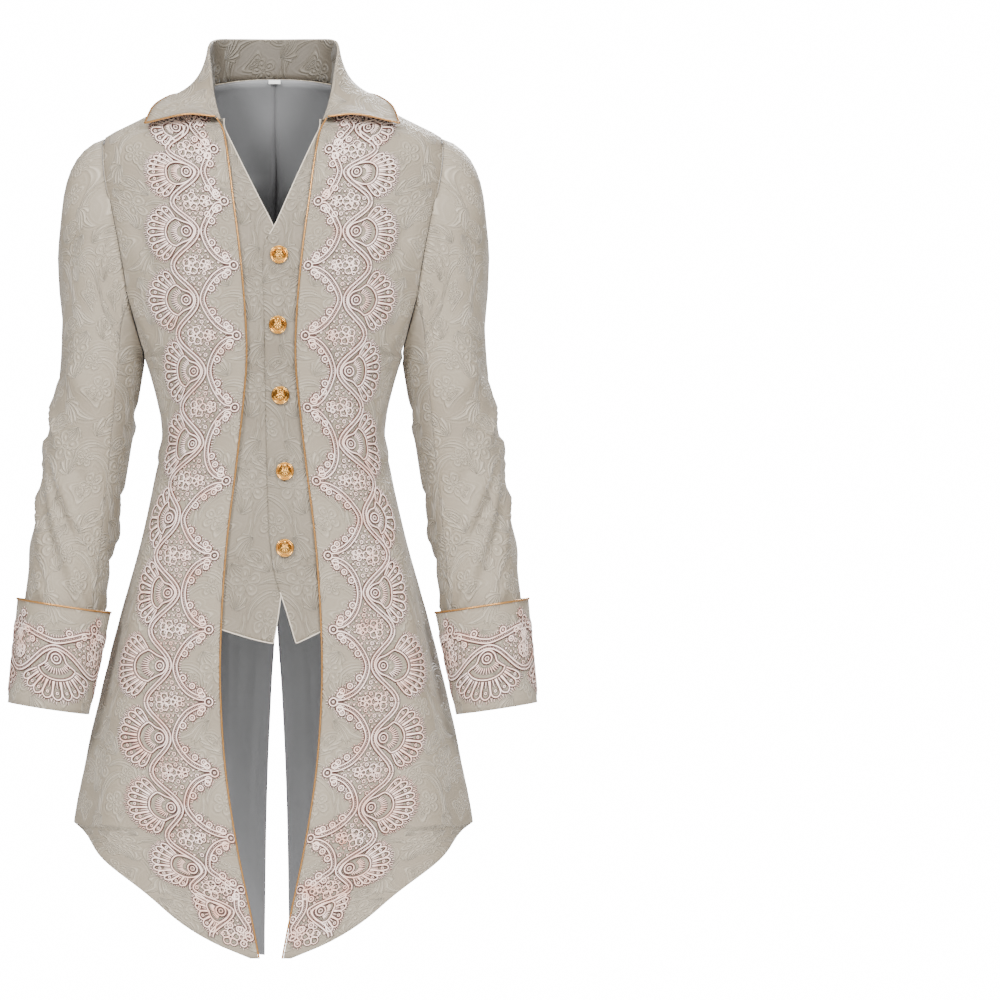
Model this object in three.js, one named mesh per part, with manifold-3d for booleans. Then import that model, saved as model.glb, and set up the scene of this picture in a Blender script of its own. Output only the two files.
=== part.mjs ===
// Brocade tailcoat with a mock waistcoat, filled out as if worn, with nobody in it.
//
// Millimetres, +Z up, the front faces -Y and the wearer's left is +X.
// The origin is the middle of the neck base, where the shoulders carry the coat.
// Body pieces are cut from one family of rings: a ring has a height, a half width and two depths,
// and a seam or an edge says how far round the ring a piece reaches.
// Pieces are made for the wearer's left and mirrored for the right.

import * as THREE from 'three'
import { mergeVertices } from 'three/addons/utils/BufferGeometryUtils.js'
import Module from 'manifold-3d'

const wasm = await Module()
wasm.setup()

// Cloth and trim thicknesses
const CLOTH = 1.6
const LINING = 1.0
const VEST_CLOTH = 1.4
const LACE = 1.0
const PIPING_RADIUS = 1.6

// Gaps between neighbouring pieces
const SEAM_GAP = 0.3
const LAYER_GAP = 0.4
const VEST_SINK = CLOTH + 2.4
const ARMHOLE_GAP = 0.6

// Body rings: a superellipse through half width, front depth and back depth
const SQUARENESS = 2.4
const BODY_RINGS = [
  { z: -10, halfWidth: 82, front: 14, back: 53 },
  { z: -22, halfWidth: 108, front: 32, back: 63 },
  { z: -36, halfWidth: 134, front: 50, back: 73 },
  { z: -50, halfWidth: 160, front: 66, back: 81 },
  { z: -63, halfWidth: 186, front: 78, back: 88 },
  { z: -76, halfWidth: 210, front: 86, back: 94 },
  { z: -98, halfWidth: 219, front: 95, back: 104 },
  { z: -125, halfWidth: 221, front: 103, back: 112 },
  { z: -185, halfWidth: 217, front: 113, back: 121 },
  { z: -250, halfWidth: 201, front: 118, back: 121 },
  { z: -318, halfWidth: 176, front: 117, back: 112 },
  { z: -351, halfWidth: 161.5, front: 113, back: 104 },
  { z: -380, halfWidth: 152, front: 110, back: 98 },
  { z: -415, halfWidth: 143.5, front: 107, back: 92 },
  { z: -450, halfWidth: 139.5, front: 105, back: 90 },
  { z: -490, halfWidth: 146.5, front: 105, back: 94 },
  { z: -575, halfWidth: 166, front: 108, back: 110 },
  { z: -663, halfWidth: 187, front: 112, back: 128 },
  { z: -755, halfWidth: 208, front: 116, back: 143 },
  { z: -854, halfWidth: 231, front: 120, back: 153 },
  { z: -931, halfWidth: 245, front: 124, back: 159 },
  { z: -1106, halfWidth: 260, front: 130, back: 168 },
]

// The back of the neck stands higher than its sides
const NECK_RISE = 10
const NECK_RISE_ENDS = -60

// Soft flutes of the skirt, deepest at the hem
const FLUTES = { starts: -520, full: -1000, share: 0.022, waves: 9 }

// Heights that every body piece shares, so that neighbours meet along the same lines
const HEIGHTS = [
  -10, -22, -36, -50, -63, -76, -98, -125, -155, -185, -216, -250, -285, -318, -342, -351,
  -380, -415, -450, -490, -530, -575, -620, -663, -706, -755, -804, -829, -860, -895, -931,
  -954, -985, -1018, -1050, -1076, -1095, -1106,
]
const SHOULDER_POINT = -76
const ARMPIT = -351
const SIDE_BACK_TOP = -216
const BACK_HEM_CORNER = -804
const FRONT_HEM_CORNER = -931
const SIDE_BACK_TIP = -954
const FRONT_TIP = -1095
const BACK_TIP = -1106
const VENT_TOP = -663

// Front edge, from the neck point down to the tip of the swallow tail: distance from the middle
const FRONT_EDGE = [
  { z: -10, x: 75 },
  { z: -22, x: 76 },
  { z: -36, x: 74.5 },
  { z: -50, x: 70 },
  { z: -63, x: 63 },
  { z: -98, x: 56 },
  { z: -155, x: 48.5 },
  { z: -216, x: 40.5 },
  { z: -285, x: 34 },
  { z: -351, x: 31.5 },
  { z: -415, x: 36.5 },
  { z: -490, x: 45 },
  { z: -575, x: 55.5 },
  { z: -663, x: 62 },
  { z: -755, x: 64 },
  { z: -860, x: 57.5 },
  { z: -954, x: 43.5 },
  { z: -1050, x: 24 },
  { z: -1095, x: 15.5 },
]

// Armhole seam on the front and on the back
const ARMHOLE = [
  { z: -76, front: 209.5, back: 209.5 },
  { z: -98, front: 210, back: 204.5 },
  { z: -125, front: 207.5, back: 199 },
  { z: -155, front: 202, back: 193 },
  { z: -185, front: 196, back: 187 },
  { z: -216, front: 190, back: 181 },
  { z: -250, front: 184, back: 176 },
  { z: -285, front: 177.5, back: 171 },
  { z: -318, front: 169, back: 165 },
  { z: -342, front: 162, back: 160.5 },
  { z: -351, front: 158, back: 158 },
]

// Side seam, as degrees round the ring from the middle of the front
const SIDE_SEAM = { atArmpit: 90, atHem: 104 }

// Seam between side back and back
const SIDE_BACK_SEAM = [
  { z: -216, x: 173 },
  { z: -250, x: 141 },
  { z: -285, x: 125 },
  { z: -351, x: 117 },
  { z: -450, x: 121 },
  { z: -530, x: 131 },
  { z: -663, x: 138 },
  { z: -804, x: 145 },
  { z: -954, x: 151 },
]

// Hems: the fronts fall from the side to the tip, the back falls to the tips beside the vent
const FRONT_HEM = [
  { z: -954, x: 229 },
  { z: -985, x: 194 },
  { z: -1018, x: 154 },
  { z: -1050, x: 114 },
  { z: -1076, x: 70 },
  { z: -1095, x: 25 },
]
const BACK_HEM = [
  { z: -829, x: 210 },
  { z: -860, x: 203 },
  { z: -895, x: 190 },
  { z: -931, x: 173 },
  { z: -954, x: 158 },
  { z: -985, x: 135 },
  { z: -1018, x: 107 },
  { z: -1050, x: 79 },
  { z: -1076, x: 56 },
  { z: -1095, x: 35 },
  { z: -1106, x: 25 },
]

// Vent: half of the space between the tails
const VENT = [
  { z: -663, x: 0.2 },
  { z: -706, x: 2.2 },
  { z: -755, x: 5.6 },
  { z: -804, x: 8.2 },
  { z: -860, x: 11 },
  { z: -931, x: 13.5 },
  { z: -1018, x: 15 },
  { z: -1106, x: 15.5 },
]

// Waistcoat edges: x past the middle of the front is negative
const VEST_UNDERLAP = 12
const VEST_HEM_RISE = 22
const VEST_HEM = -706
const VEST_LEFT_EDGE = [
  { z: -63, x: 60 },
  { z: -98, x: 44 },
  { z: -155, x: 19 },
  { z: -185, x: 6 },
  { z: -216, x: -9 },
  { z: -318, x: -8 },
  { z: -490, x: -5.6 },
  { z: -575, x: -2 },
  { z: -620, x: 4 },
  { z: -663, x: 18 },
  { z: -706, x: 31 },
]
const VEST_RIGHT_EDGE = [
  { z: -63, x: 60 },
  { z: -98, x: 43 },
  { z: -155, x: 14.5 },
  { z: -185, x: -1 },
  { z: -216, x: -12 },
  { z: -250, x: -14 },
  { z: -620, x: -14 },
  { z: -663, x: -10 },
  { z: -706, x: -3 },
]

// Sleeve: elliptical sections about a slanting axis; widths lie across the axis
const SLEEVE_TILT = 8.6
const SLEEVE_SECTIONS = [
  { z: -351, x: 214, y: 2, halfWidth: 53.5, halfDepth: 64 },
  { z: -420, x: 224.5, y: 1, halfWidth: 53, halfDepth: 61 },
  { z: -500, x: 236.5, y: -3, halfWidth: 52.5, halfDepth: 57 },
  { z: -580, x: 248.5, y: -11, halfWidth: 51.5, halfDepth: 53 },
  { z: -650, x: 259, y: -22, halfWidth: 50, halfDepth: 50 },
  { z: -720, x: 269, y: -33, halfWidth: 49, halfDepth: 48.5 },
  { z: -788, x: 279, y: -43, halfWidth: 48.5, halfDepth: 47.5 },
]
const CAP_ROWS = 4
const CAP_SEAM_SHARE = 0.006
const CAP_OUT = { middle: 0.62, swing: 0.35 }
const CAP_DOWN = { middle: 0.55, swing: -0.25 }
const HINDARM_COLUMN = -5
const FOREARM_COLUMN = 7
const HINDARM_ANGLE = -84
const FOREARM_ANGLE = { atBiceps: 116, atWrist: 150 }

// Turned-back cuff, standing off the sleeve towards its top edge
const CUFF = {
  bottom: -788, top: -661, slitAngle: 278, slitWidth: 2, notchDepth: 18, notchDegrees: 34,
  bottomHalfWidth: 51.3, topHalfWidth: 59, bottomHalfDepth: 50.3, topHalfDepth: 57,
}
const CUFF_COLUMNS = 20
const CUFF_ROWS = 2

// Collar stations from the middle of the back to the front end of the roll line.
// A turn is degrees round the neck from the front; a station without one lies on the front's own edge.
// fold is the roll line, edge the outer edge of the leaf; hangOut and hangDown shape the leaf between them.
const COLLAR = [
  { ring: -10, turn: 180, fold: [0, 57, 49], edge: [0, 70, -7], hangOut: 1.1, hangDown: 0.35 },
  { ring: -10, turn: 150, fold: [46, 51, 49], edge: [52, 68, -11], hangOut: 1.0, hangDown: 0.4 },
  { ring: -10, turn: 120, fold: [72, 31, 47], edge: [92, 50, -17], hangOut: 0.5, hangDown: 0.65 },
  { ring: -10, turn: 90, fold: [79, 4, 38], edge: [120, 14, -20], hangOut: 0.24, hangDown: 0.8 },
  { ring: -10, fold: [79, -9, 26], edge: [136, -8, -27], hangOut: 0.22, hangDown: 0.76 },
  { ring: -22, fold: [77, -21, 11], edge: [149, -32, -39], hangOut: 0.22, hangDown: 0.7 },
  { ring: -36, fold: [74, -41, -14], edge: [157, -66, -60], hangOut: 0.3, hangDown: 0.55 },
  { ring: -50, fold: [69, -61, -38], edge: [106, -86, -50], hangOut: 0.4, hangDown: 0.4 },
  { ring: -63, fold: [63.5, -77, -56], edge: [69, -83, -53], hangOut: 0.5, hangDown: 0.5 },
]
const COLLAR_TIP_STATION = 6
const COLLAR_STEPS = 2
const STAND_ROWS = 1
const LEAF_ROWS = 4
const COLLAR_LIFT = 0.9

// Piping: sides of the cord's section and steps along each cord
const CORD_SIDES = 5
const FRONT_CORD_STEPS = 32
const CUFF_CORD_STEPS = 24
const CUFF_CORD_LIFT = 0.7
const LEAF_CORD_LIFT = 0.8
const LEAF_CORD_STEPS = { back: 26, tip: 8 }

// Buttons down the waistcoat
const BUTTONS = [
  { x: 10, z: -225 },
  { x: 8.5, z: -312 },
  { x: 11.5, z: -399 },
  { x: 17, z: -493 },
  { x: 17, z: -588 },
]
const BUTTON = { radius: 11.2, height: 7.5, rim: 1.6, shank: 3.2, shankHeight: 1.8, segments: 12 }

// Lace strip: one row for each fan, placed by the fan's eye; reach is how far its scallop stands out
// beyond the eye, tongue is how far the next tongue reaches towards the front edge
const FANS = [
  { x: 138, z: -84, reach: 34, tongue: 58 },
  { x: 104, z: -122, reach: 52, tongue: 52 },
  { x: 106, z: -196, reach: 52, tongue: 64 },
  { x: 106, z: -281, reach: 50, tongue: 63 },
  { x: 97, z: -369, reach: 38, tongue: 57 },
  { x: 99, z: -459, reach: 32, tongue: 62 },
  { x: 128, z: -551, reach: 24, tongue: 62 },
  { x: 129, z: -644, reach: 38, tongue: 61 },
  { x: 139, z: -734, reach: 52, tongue: 66 },
  { x: 139, z: -823, reach: 53, tongue: 66 },
  { x: 124, z: -909, reach: 58, tongue: 66 },
  { x: 98, z: -984, reach: 52, tongue: 56 },
]
const LACE_TOP = { inner: 68, outer: 158, z: -64 }
const LACE_END = { x: 34, z: -1072, inner: 24 }
const SCALLOP_POINTS = 5
const VALLEY_SHARE = 0.38
const REST = 28
const TONGUE_HALF = 15
const TONGUE_CROWN = 7

// Openings of one lace repeat, as corners measured outwards and up from the fan's eye
const FAN_WINDOWS = [
  [[10, 2], [17, 3], [12, 13], [6, 8]],
  [[10, -2], [6, -8], [12, -13], [17, -3]],
]
const TONGUE_WINDOW = [[8, 0], [14, 7], [21, 0], [14, -7]]

// Cuff lace: fans round the cuff, each pointing down
const CUFF_FANS = 3
const CUFF_LACE = { topMargin: 10, bottomMargin: 3, eyeHeight: 62 }

// Neck label: a small blank loop hanging from the neck seam
const LABEL = { width: 15, height: 5, thickness: 0.8, drop: 1.5 }

// Materials, one for each finish
const brocade = new THREE.MeshStandardMaterial({ color: 0xb8aea0, roughness: 0.62, metalness: 0 })
const satin = new THREE.MeshStandardMaterial({ color: 0x868686, roughness: 0.45, metalness: 0 })
const lace = new THREE.MeshStandardMaterial({ color: 0xe3d2c8, roughness: 0.7, metalness: 0 })
const goldCord = new THREE.MeshStandardMaterial({ color: 0xc98a3c, roughness: 0.35, metalness: 0.6 })
const goldMetal = new THREE.MeshStandardMaterial({ color: 0xd9a441, roughness: 0.25, metalness: 1 })
const tape = new THREE.MeshStandardMaterial({ color: 0xf2f0ec, roughness: 0.8, metalness: 0 })

const coat = new THREE.Group()
const degrees = THREE.MathUtils.degToRad
const mix = THREE.MathUtils.lerp

// A column of a table at any height, as a smooth curve through its rows from the top down
function read(table, column, z) {
  const last = table.length - 1
  if (z >= table[0].z) return table[0][column]
  if (z <= table[last].z) return table[last][column]
  const i = table.findIndex((row) => row.z < z) - 1
  const slope = (a, b) => (table[b][column] - table[a][column]) / (table[b].z - table[a].z)
  const step = table[i + 1].z - table[i].z
  const t = (z - table[i].z) / step
  const start = slope(Math.max(i - 1, 0), i + 1) * step
  const end = slope(i, Math.min(i + 2, last)) * step
  const [a, b] = [table[i][column], table[i + 1][column]]
  return a * (1 + 2 * t) * (1 - t) ** 2 + start * t * (1 - t) ** 2
    + b * t * t * (3 - 2 * t) + end * t * t * (t - 1)
}

function flute(angle, z) {
  const grown = THREE.MathUtils.clamp((FLUTES.starts - z) / (FLUTES.starts - FLUTES.full), 0, 1)
  return FLUTES.share * grown * Math.sin(angle * FLUTES.waves) * Math.sin(angle)
}

// A point of the body: angle 0 is the middle of the front and PI the middle of the back
function bodyPoint(angle, z) {
  const power = 2 / SQUARENESS
  const side = Math.sin(angle)
  const facing = Math.cos(angle)
  const depth = facing > 0 ? read(BODY_RINGS, 'front', z) : read(BODY_RINGS, 'back', z)
  const spread = 1 + flute(angle, z)
  const rise = facing < 0 ? NECK_RISE * THREE.MathUtils.clamp((z - NECK_RISE_ENDS) / 50, 0, 1) : 0
  return new THREE.Vector3(
    read(BODY_RINGS, 'halfWidth', z) * Math.sign(side) * Math.abs(side) ** power * spread,
    -depth * Math.sign(facing) * Math.abs(facing) ** power * spread,
    z + rise * facing * facing,
  )
}

function bodyNormal(angle, z) {
  const turn = 0.02
  const rise = 2
  const round = bodyPoint(angle + turn, z).sub(bodyPoint(angle - turn, z))
  const up = bodyPoint(angle, z + rise).sub(bodyPoint(angle, z - rise))
  return round.cross(up).normalize()
}

// How far round the ring a distance x from the middle lies, in front or behind
function frontAngle(x, z) {
  const share = Math.min(Math.abs(x) / read(BODY_RINGS, 'halfWidth', z), 1)
  return Math.sign(x) * Math.asin(share ** (SQUARENESS / 2))
}

const backAngle = (x, z) => Math.PI - frontAngle(x, z)

// A closed wall over a grid of points: outer and inner faces and four edges
function wall(outer, inner) {
  const rows = outer.length
  const columns = outer[0].length
  const points = [...outer.flat(), ...inner.flat()]
  const half = rows * columns
  const faces = []
  const quad = (a, b, c, d) => faces.push(a, b, c, a, c, d)
  for (let r = 0; r < rows - 1; r++) {
    for (let c = 0; c < columns - 1; c++) {
      const a = r * columns + c
      quad(a, a + columns, a + columns + 1, a + 1)
      quad(half + a, half + a + 1, half + a + columns + 1, half + a + columns)
    }
    const left = r * columns
    const right = left + columns - 1
    quad(left, half + left, half + left + columns, left + columns)
    quad(right, right + columns, half + right + columns, half + right)
  }
  const bottom = (rows - 1) * columns
  for (let c = 0; c < columns - 1; c++) {
    quad(c, c + 1, half + c + 1, half + c)
    quad(bottom + c, half + bottom + c, half + bottom + c + 1, bottom + c + 1)
  }
  const geometry = new THREE.BufferGeometry()
  geometry.setAttribute('position', new THREE.Float32BufferAttribute(points.flatMap((p) => p.toArray()), 3))
  geometry.setIndex(faces)
  return geometry
}

// A tidy closed mesh from one of the library's shapes
function welded(geometry) {
  geometry.deleteAttribute('normal')
  geometry.deleteAttribute('uv')
  return mergeVertices(geometry, 1e-3)
}

function turnedOut(geometry) {
  const index = geometry.index.array
  const position = geometry.attributes.position
  const corner = [0, 1, 2].map(() => new THREE.Vector3())
  let volume = 0
  for (let i = 0; i < index.length; i += 3) {
    corner.forEach((point, k) => point.fromBufferAttribute(position, index[i + k]))
    volume += corner[0].dot(corner[1].clone().cross(corner[2]))
  }
  if (volume < 0) geometry.setIndex(Array.from(index).reverse())
  geometry.computeVertexNormals()
  return geometry
}

function mirrored(geometry) {
  const copy = geometry.clone()
  copy.scale(-1, 1, 1)
  return copy
}

function add(name, geometry, material) {
  const mesh = new THREE.Mesh(turnedOut(geometry), material)
  mesh.name = name
  coat.add(mesh)
}

function addPair(name, geometry, material) {
  add(`${name}_left`, geometry, material)
  add(`${name}_right`, mirrored(geometry), material)
}

// The grid of a body panel: a row for each height, from the inner to the outer angle
function panelGrid(heights, columns, innerAngle, outerAngle, offset) {
  return heights.map((z) => {
    const from = innerAngle(z)
    const to = outerAngle(z)
    return Array.from({ length: columns + 1 }, (_, c) => {
      const angle = mix(from, to, c / columns)
      const sink = typeof offset === 'function' ? offset(c / columns, z) : offset
      return bodyPoint(angle, z).addScaledVector(bodyNormal(angle, z), sink)
    })
  })
}

const heightsBetween = (top, bottom, skipped = []) =>
  HEIGHTS.filter((z) => z <= top && z >= bottom && !skipped.includes(z))

// Seam lines, each moved half a gap to its own side
const halfGap = (z) => SEAM_GAP / 2 / read(BODY_RINGS, 'halfWidth', z)
const ridge = Math.PI / 2

function sideSeamAngle(z) {
  const share = THREE.MathUtils.clamp((ARMPIT - z) / (ARMPIT - BACK_HEM_CORNER), 0, 1)
  return degrees(mix(SIDE_SEAM.atArmpit, SIDE_SEAM.atHem, share))
}

function frontOuter(z) {
  if (z >= SHOULDER_POINT) return ridge - halfGap(z)
  if (z > ARMPIT) return frontAngle(read(ARMHOLE, 'front', z), z)
  if (z >= BACK_HEM_CORNER) return sideSeamAngle(z) - halfGap(z)
  if (z >= FRONT_HEM_CORNER) {
    const share = (BACK_HEM_CORNER - z) / (BACK_HEM_CORNER - FRONT_HEM_CORNER)
    return mix(sideSeamAngle(BACK_HEM_CORNER) - halfGap(z), ridge, share)
  }
  return frontAngle(read(FRONT_HEM, 'x', z), z)
}

const frontInner = (z) => frontAngle(read(FRONT_EDGE, 'x', z), z)

function sideBackOuter(z) {
  if (z > ARMPIT) return backAngle(read(ARMHOLE, 'back', z), z)
  if (z >= BACK_HEM_CORNER) return sideSeamAngle(z) + halfGap(z)
  return backAngle(read(BACK_HEM, 'x', z), z)
}

const sideBackSeam = (z) => backAngle(read(SIDE_BACK_SEAM, 'x', z), z)

function backOuter(z) {
  if (z >= SHOULDER_POINT) return ridge + halfGap(z)
  if (z > SIDE_BACK_TOP) return backAngle(read(ARMHOLE, 'back', z), z)
  if (z >= SIDE_BACK_TIP) return sideBackSeam(z) + halfGap(z)
  return backAngle(read(BACK_HEM, 'x', z), z)
}

function backInner(z) {
  return backAngle(z > VENT_TOP ? SEAM_GAP / 2 : read(VENT, 'x', z), z)
}

// Fronts, side backs and backs
const FRONT_HEIGHTS = heightsBetween(-10, FRONT_TIP, [-829])
const FRONT_COLUMNS = 5
function frontGrid(offset) {
  return panelGrid(FRONT_HEIGHTS, FRONT_COLUMNS, frontInner, frontOuter, offset)
}

function sideBackGrid(offset) {
  return panelGrid(heightsBetween(SIDE_BACK_TOP, SIDE_BACK_TIP), 2,
    (z) => sideBackSeam(z) - halfGap(z), sideBackOuter, offset)
}

function backGrid(columns, offset) {
  return panelGrid(heightsBetween(-10, BACK_TIP, [FRONT_TIP]), columns, backInner, backOuter, offset)
}

addPair('front', wall(frontGrid(0), frontGrid(-CLOTH)), brocade)
addPair('side_back', wall(sideBackGrid(0), sideBackGrid(-CLOTH)), brocade)
addPair('back', wall(backGrid(4, 0), backGrid(4, -CLOTH)), brocade)

// Back lining, seen in the neck and inside the tails
const liningTop = CLOTH + LAYER_GAP
addPair('lining_back', wall(backGrid(2, -liningTop), backGrid(2, -liningTop - LINING)), satin)

// Mock waistcoat, its outer margin under the front, the left piece over the right
function vestGrid(edge, sunk) {
  const heights = heightsBetween(-63, VEST_HEM)
  const inner = (z) => frontAngle(read(edge, 'x', z), z)
  const outer = (z) => frontAngle(read(FRONT_EDGE, 'x', z) + VEST_UNDERLAP, z)
  const grid = panelGrid(heights, 3, inner, outer, sunk)
  grid.at(-1).forEach((point, c, row) => { point.z += VEST_HEM_RISE * c / (row.length - 1) })
  return grid
}

const underVest = VEST_CLOTH + 0.6
const leftSink = -VEST_SINK
const rightSink = (share, z) => {
  const overlapped = z < -170 ? 1 - THREE.MathUtils.smoothstep(share, 0.35, 0.9) : 0
  return -VEST_SINK - underVest * overlapped
}
add('vest_left', wall(vestGrid(VEST_LEFT_EDGE, leftSink), vestGrid(VEST_LEFT_EDGE, leftSink - VEST_CLOTH)), brocade)
add('vest_right', mirrored(wall(
  vestGrid(VEST_RIGHT_EDGE, rightSink),
  vestGrid(VEST_RIGHT_EDGE, (share, z) => rightSink(share, z) - VEST_CLOTH),
)), brocade)

// Sleeves: the head runs from the armhole to the first section, the arm follows the sections
const ARMHOLE_HEIGHTS = heightsBetween(-98, -342)
const ARMHOLE_COUNT = 2 * ARMHOLE_HEIGHTS.length + 2
const BOTTOM_COLUMN = ARMHOLE_HEIGHTS.length + 1

function armholePoint(column) {
  const k = (column + ARMHOLE_COUNT) % ARMHOLE_COUNT
  const gap = new THREE.Vector3(ARMHOLE_GAP, 0, 0)
  if (k === 0) return bodyPoint(ridge, SHOULDER_POINT).add(gap)
  if (k === BOTTOM_COLUMN) return bodyPoint(ridge, ARMPIT).add(gap)
  if (k < BOTTOM_COLUMN) {
    const z = ARMHOLE_HEIGHTS[k - 1]
    return bodyPoint(frontAngle(read(ARMHOLE, 'front', z), z), z).add(gap)
  }
  const z = ARMHOLE_HEIGHTS[ARMHOLE_COUNT - k - 1]
  return bodyPoint(backAngle(read(ARMHOLE, 'back', z), z), z).add(gap)
}

function sleeveAngle(column, z) {
  const share = (SLEEVE_SECTIONS[0].z - z) / (SLEEVE_SECTIONS[0].z - SLEEVE_SECTIONS.at(-1).z)
  const forearm = mix(FOREARM_ANGLE.atBiceps, FOREARM_ANGLE.atWrist, share)
  if (column <= FOREARM_COLUMN) {
    const t = (column - HINDARM_COLUMN) / (FOREARM_COLUMN - HINDARM_COLUMN)
    return degrees(mix(HINDARM_ANGLE, forearm, t))
  }
  const t = (column - FOREARM_COLUMN) / (ARMHOLE_COUNT + HINDARM_COLUMN - FOREARM_COLUMN)
  return degrees(mix(forearm, HINDARM_ANGLE + 360, t))
}

// A point on an elliptical section across the sleeve's axis; angle 0 is outwards and 90 degrees in front
function sectionPoint(angle, z, halfWidth, halfDepth) {
  const tilt = degrees(SLEEVE_TILT)
  const across = halfWidth * Math.cos(angle)
  return new THREE.Vector3(
    read(SLEEVE_SECTIONS, 'x', z) + across * Math.cos(tilt),
    read(SLEEVE_SECTIONS, 'y', z) - halfDepth * Math.sin(angle),
    z + across * Math.sin(tilt),
  )
}

function armPoint(angle, z, inset) {
  return sectionPoint(angle, z, read(SLEEVE_SECTIONS, 'halfWidth', z) - inset,
    read(SLEEVE_SECTIONS, 'halfDepth', z) - inset)
}

// The sleeve head: a curve from the armhole that leaves outwards and joins the arm's own direction
function capPoint(column, share, inset) {
  const first = SLEEVE_SECTIONS[0]
  const angle = sleeveAngle(column, first.z)
  const middle = new THREE.Vector3(armholePoint(0).x, 0, (SHOULDER_POINT + ARMPIT) / 2)
  const start = armholePoint(column)
  const inwards = middle.clone().sub(start).setX(0).normalize()
  if (column === BOTTOM_COLUMN) inwards.set(1, 0, 0)
  start.addScaledVector(inwards, inset)
  const end = armPoint(angle, first.z, inset)
  const reach = start.distanceTo(end)
  const leave = new THREE.Vector3(CAP_OUT.middle + CAP_OUT.swing * Math.cos(angle), 0,
    -CAP_DOWN.middle - CAP_DOWN.swing * Math.cos(angle)).setLength(reach)
  const arrive = new THREE.Vector3(Math.sin(degrees(SLEEVE_TILT)), 0, -Math.cos(degrees(SLEEVE_TILT)))
    .setLength(reach)
  const t = share
  return start.multiplyScalar((1 + 2 * t) * (1 - t) ** 2)
    .addScaledVector(leave, t * (1 - t) ** 2)
    .addScaledVector(end, t * t * (3 - 2 * t))
    .addScaledVector(arrive, t * t * (t - 1))
}

function sleeveGrid(fromColumn, toColumn, inset) {
  const columns = Array.from({ length: toColumn - fromColumn + 1 }, (_, c) => fromColumn + c)
  const nudge = (column) => {
    const away = SEAM_GAP / 2 / SLEEVE_SECTIONS[0].halfWidth
    if (column === fromColumn) return away
    return column === toColumn ? -away : 0
  }
  const cap = Array.from({ length: CAP_ROWS }, (_, r) =>
    columns.map((column) => capPoint(column, r / CAP_ROWS, inset)))
  const arm = SLEEVE_SECTIONS.map(({ z }) =>
    columns.map((column) => armPoint(sleeveAngle(column, z) + nudge(column), z, inset)))
  cap.forEach((row) => {
    row[0].lerp(row[1], CAP_SEAM_SHARE)
    row.at(-1).lerp(row.at(-2), CAP_SEAM_SHARE)
  })
  return [...cap, ...arm]
}

const underEnd = ARMHOLE_COUNT + HINDARM_COLUMN
addPair('sleeve_top', wall(sleeveGrid(HINDARM_COLUMN, FOREARM_COLUMN, 0),
  sleeveGrid(HINDARM_COLUMN, FOREARM_COLUMN, CLOTH)), brocade)
addPair('sleeve_under', wall(sleeveGrid(FOREARM_COLUMN, underEnd, 0),
  sleeveGrid(FOREARM_COLUMN, underEnd, CLOTH)), brocade)

// Cuffs, open along a slit at the back of the arm with a notch above it
const slitHalf = degrees(CUFF.slitWidth) / 2
function cuffPoint(share, height, offset) {
  const angle = mix(degrees(CUFF.slitAngle) + slitHalf, degrees(CUFF.slitAngle + 360) - slitHalf, share)
  const fromSlit = Math.min(share, 1 - share) * 360
  const notch = CUFF.notchDepth * Math.max(0, 1 - fromSlit / CUFF.notchDegrees)
  const z = mix(CUFF.bottom, CUFF.top - notch, height)
  const rise = (z - CUFF.bottom) / (CUFF.top - CUFF.bottom)
  return sectionPoint(angle, z, mix(CUFF.bottomHalfWidth, CUFF.topHalfWidth, rise) + offset,
    mix(CUFF.bottomHalfDepth, CUFF.topHalfDepth, rise) + offset)
}

function cuffGrid(offset, from, to, low, high, columns) {
  return Array.from({ length: CUFF_ROWS + 1 }, (_, r) =>
    Array.from({ length: columns + 1 }, (_, c) =>
      cuffPoint(mix(from, to, c / columns), mix(high, low, r / CUFF_ROWS), offset)))
}

addPair('cuff', wall(cuffGrid(0, 0, 1, 0, 1, CUFF_COLUMNS), cuffGrid(-CLOTH, 0, 1, 0, 1, CUFF_COLUMNS)), brocade)

// Piping: a round cord along a line of points
function cord(points, steps) {
  const section = new THREE.Shape(Array.from({ length: CORD_SIDES }, (_, i) => {
    const turn = 2 * Math.PI * i / CORD_SIDES
    return new THREE.Vector2(PIPING_RADIUS * Math.cos(turn), PIPING_RADIUS * Math.sin(turn))
  }))
  const path = new THREE.CatmullRomCurve3(points, false, 'centripetal')
  return welded(new THREE.ExtrudeGeometry(section, { steps, extrudePath: path, bevelEnabled: false }))
}

// Points beside an edge, on the far side of it from the cloth
function beside(edge, within, distance) {
  return edge.map((point, i) => point.clone().addScaledVector(
    point.clone().sub(within[i]).normalize(), distance))
}

const besideCord = PIPING_RADIUS + LAYER_GAP
const frontFace = frontGrid(0.2)
const frontEdgeRows = frontFace.filter((row) => row[0].z < -64)
addPair('piping_front', cord(
  beside(frontEdgeRows.map((row) => row[0]), frontEdgeRows.map((row) => row[1]), besideCord), FRONT_CORD_STEPS), goldCord)

const cuffTop = cuffGrid(-CLOTH / 2, 0, 1, 0, 1, CUFF_COLUMNS)
const cuffRoute = beside(cuffTop[0], cuffTop[1], besideCord + CUFF_CORD_LIFT)
addPair('piping_cuff', cord(cuffRoute, CUFF_CORD_STEPS), goldCord)

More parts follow.
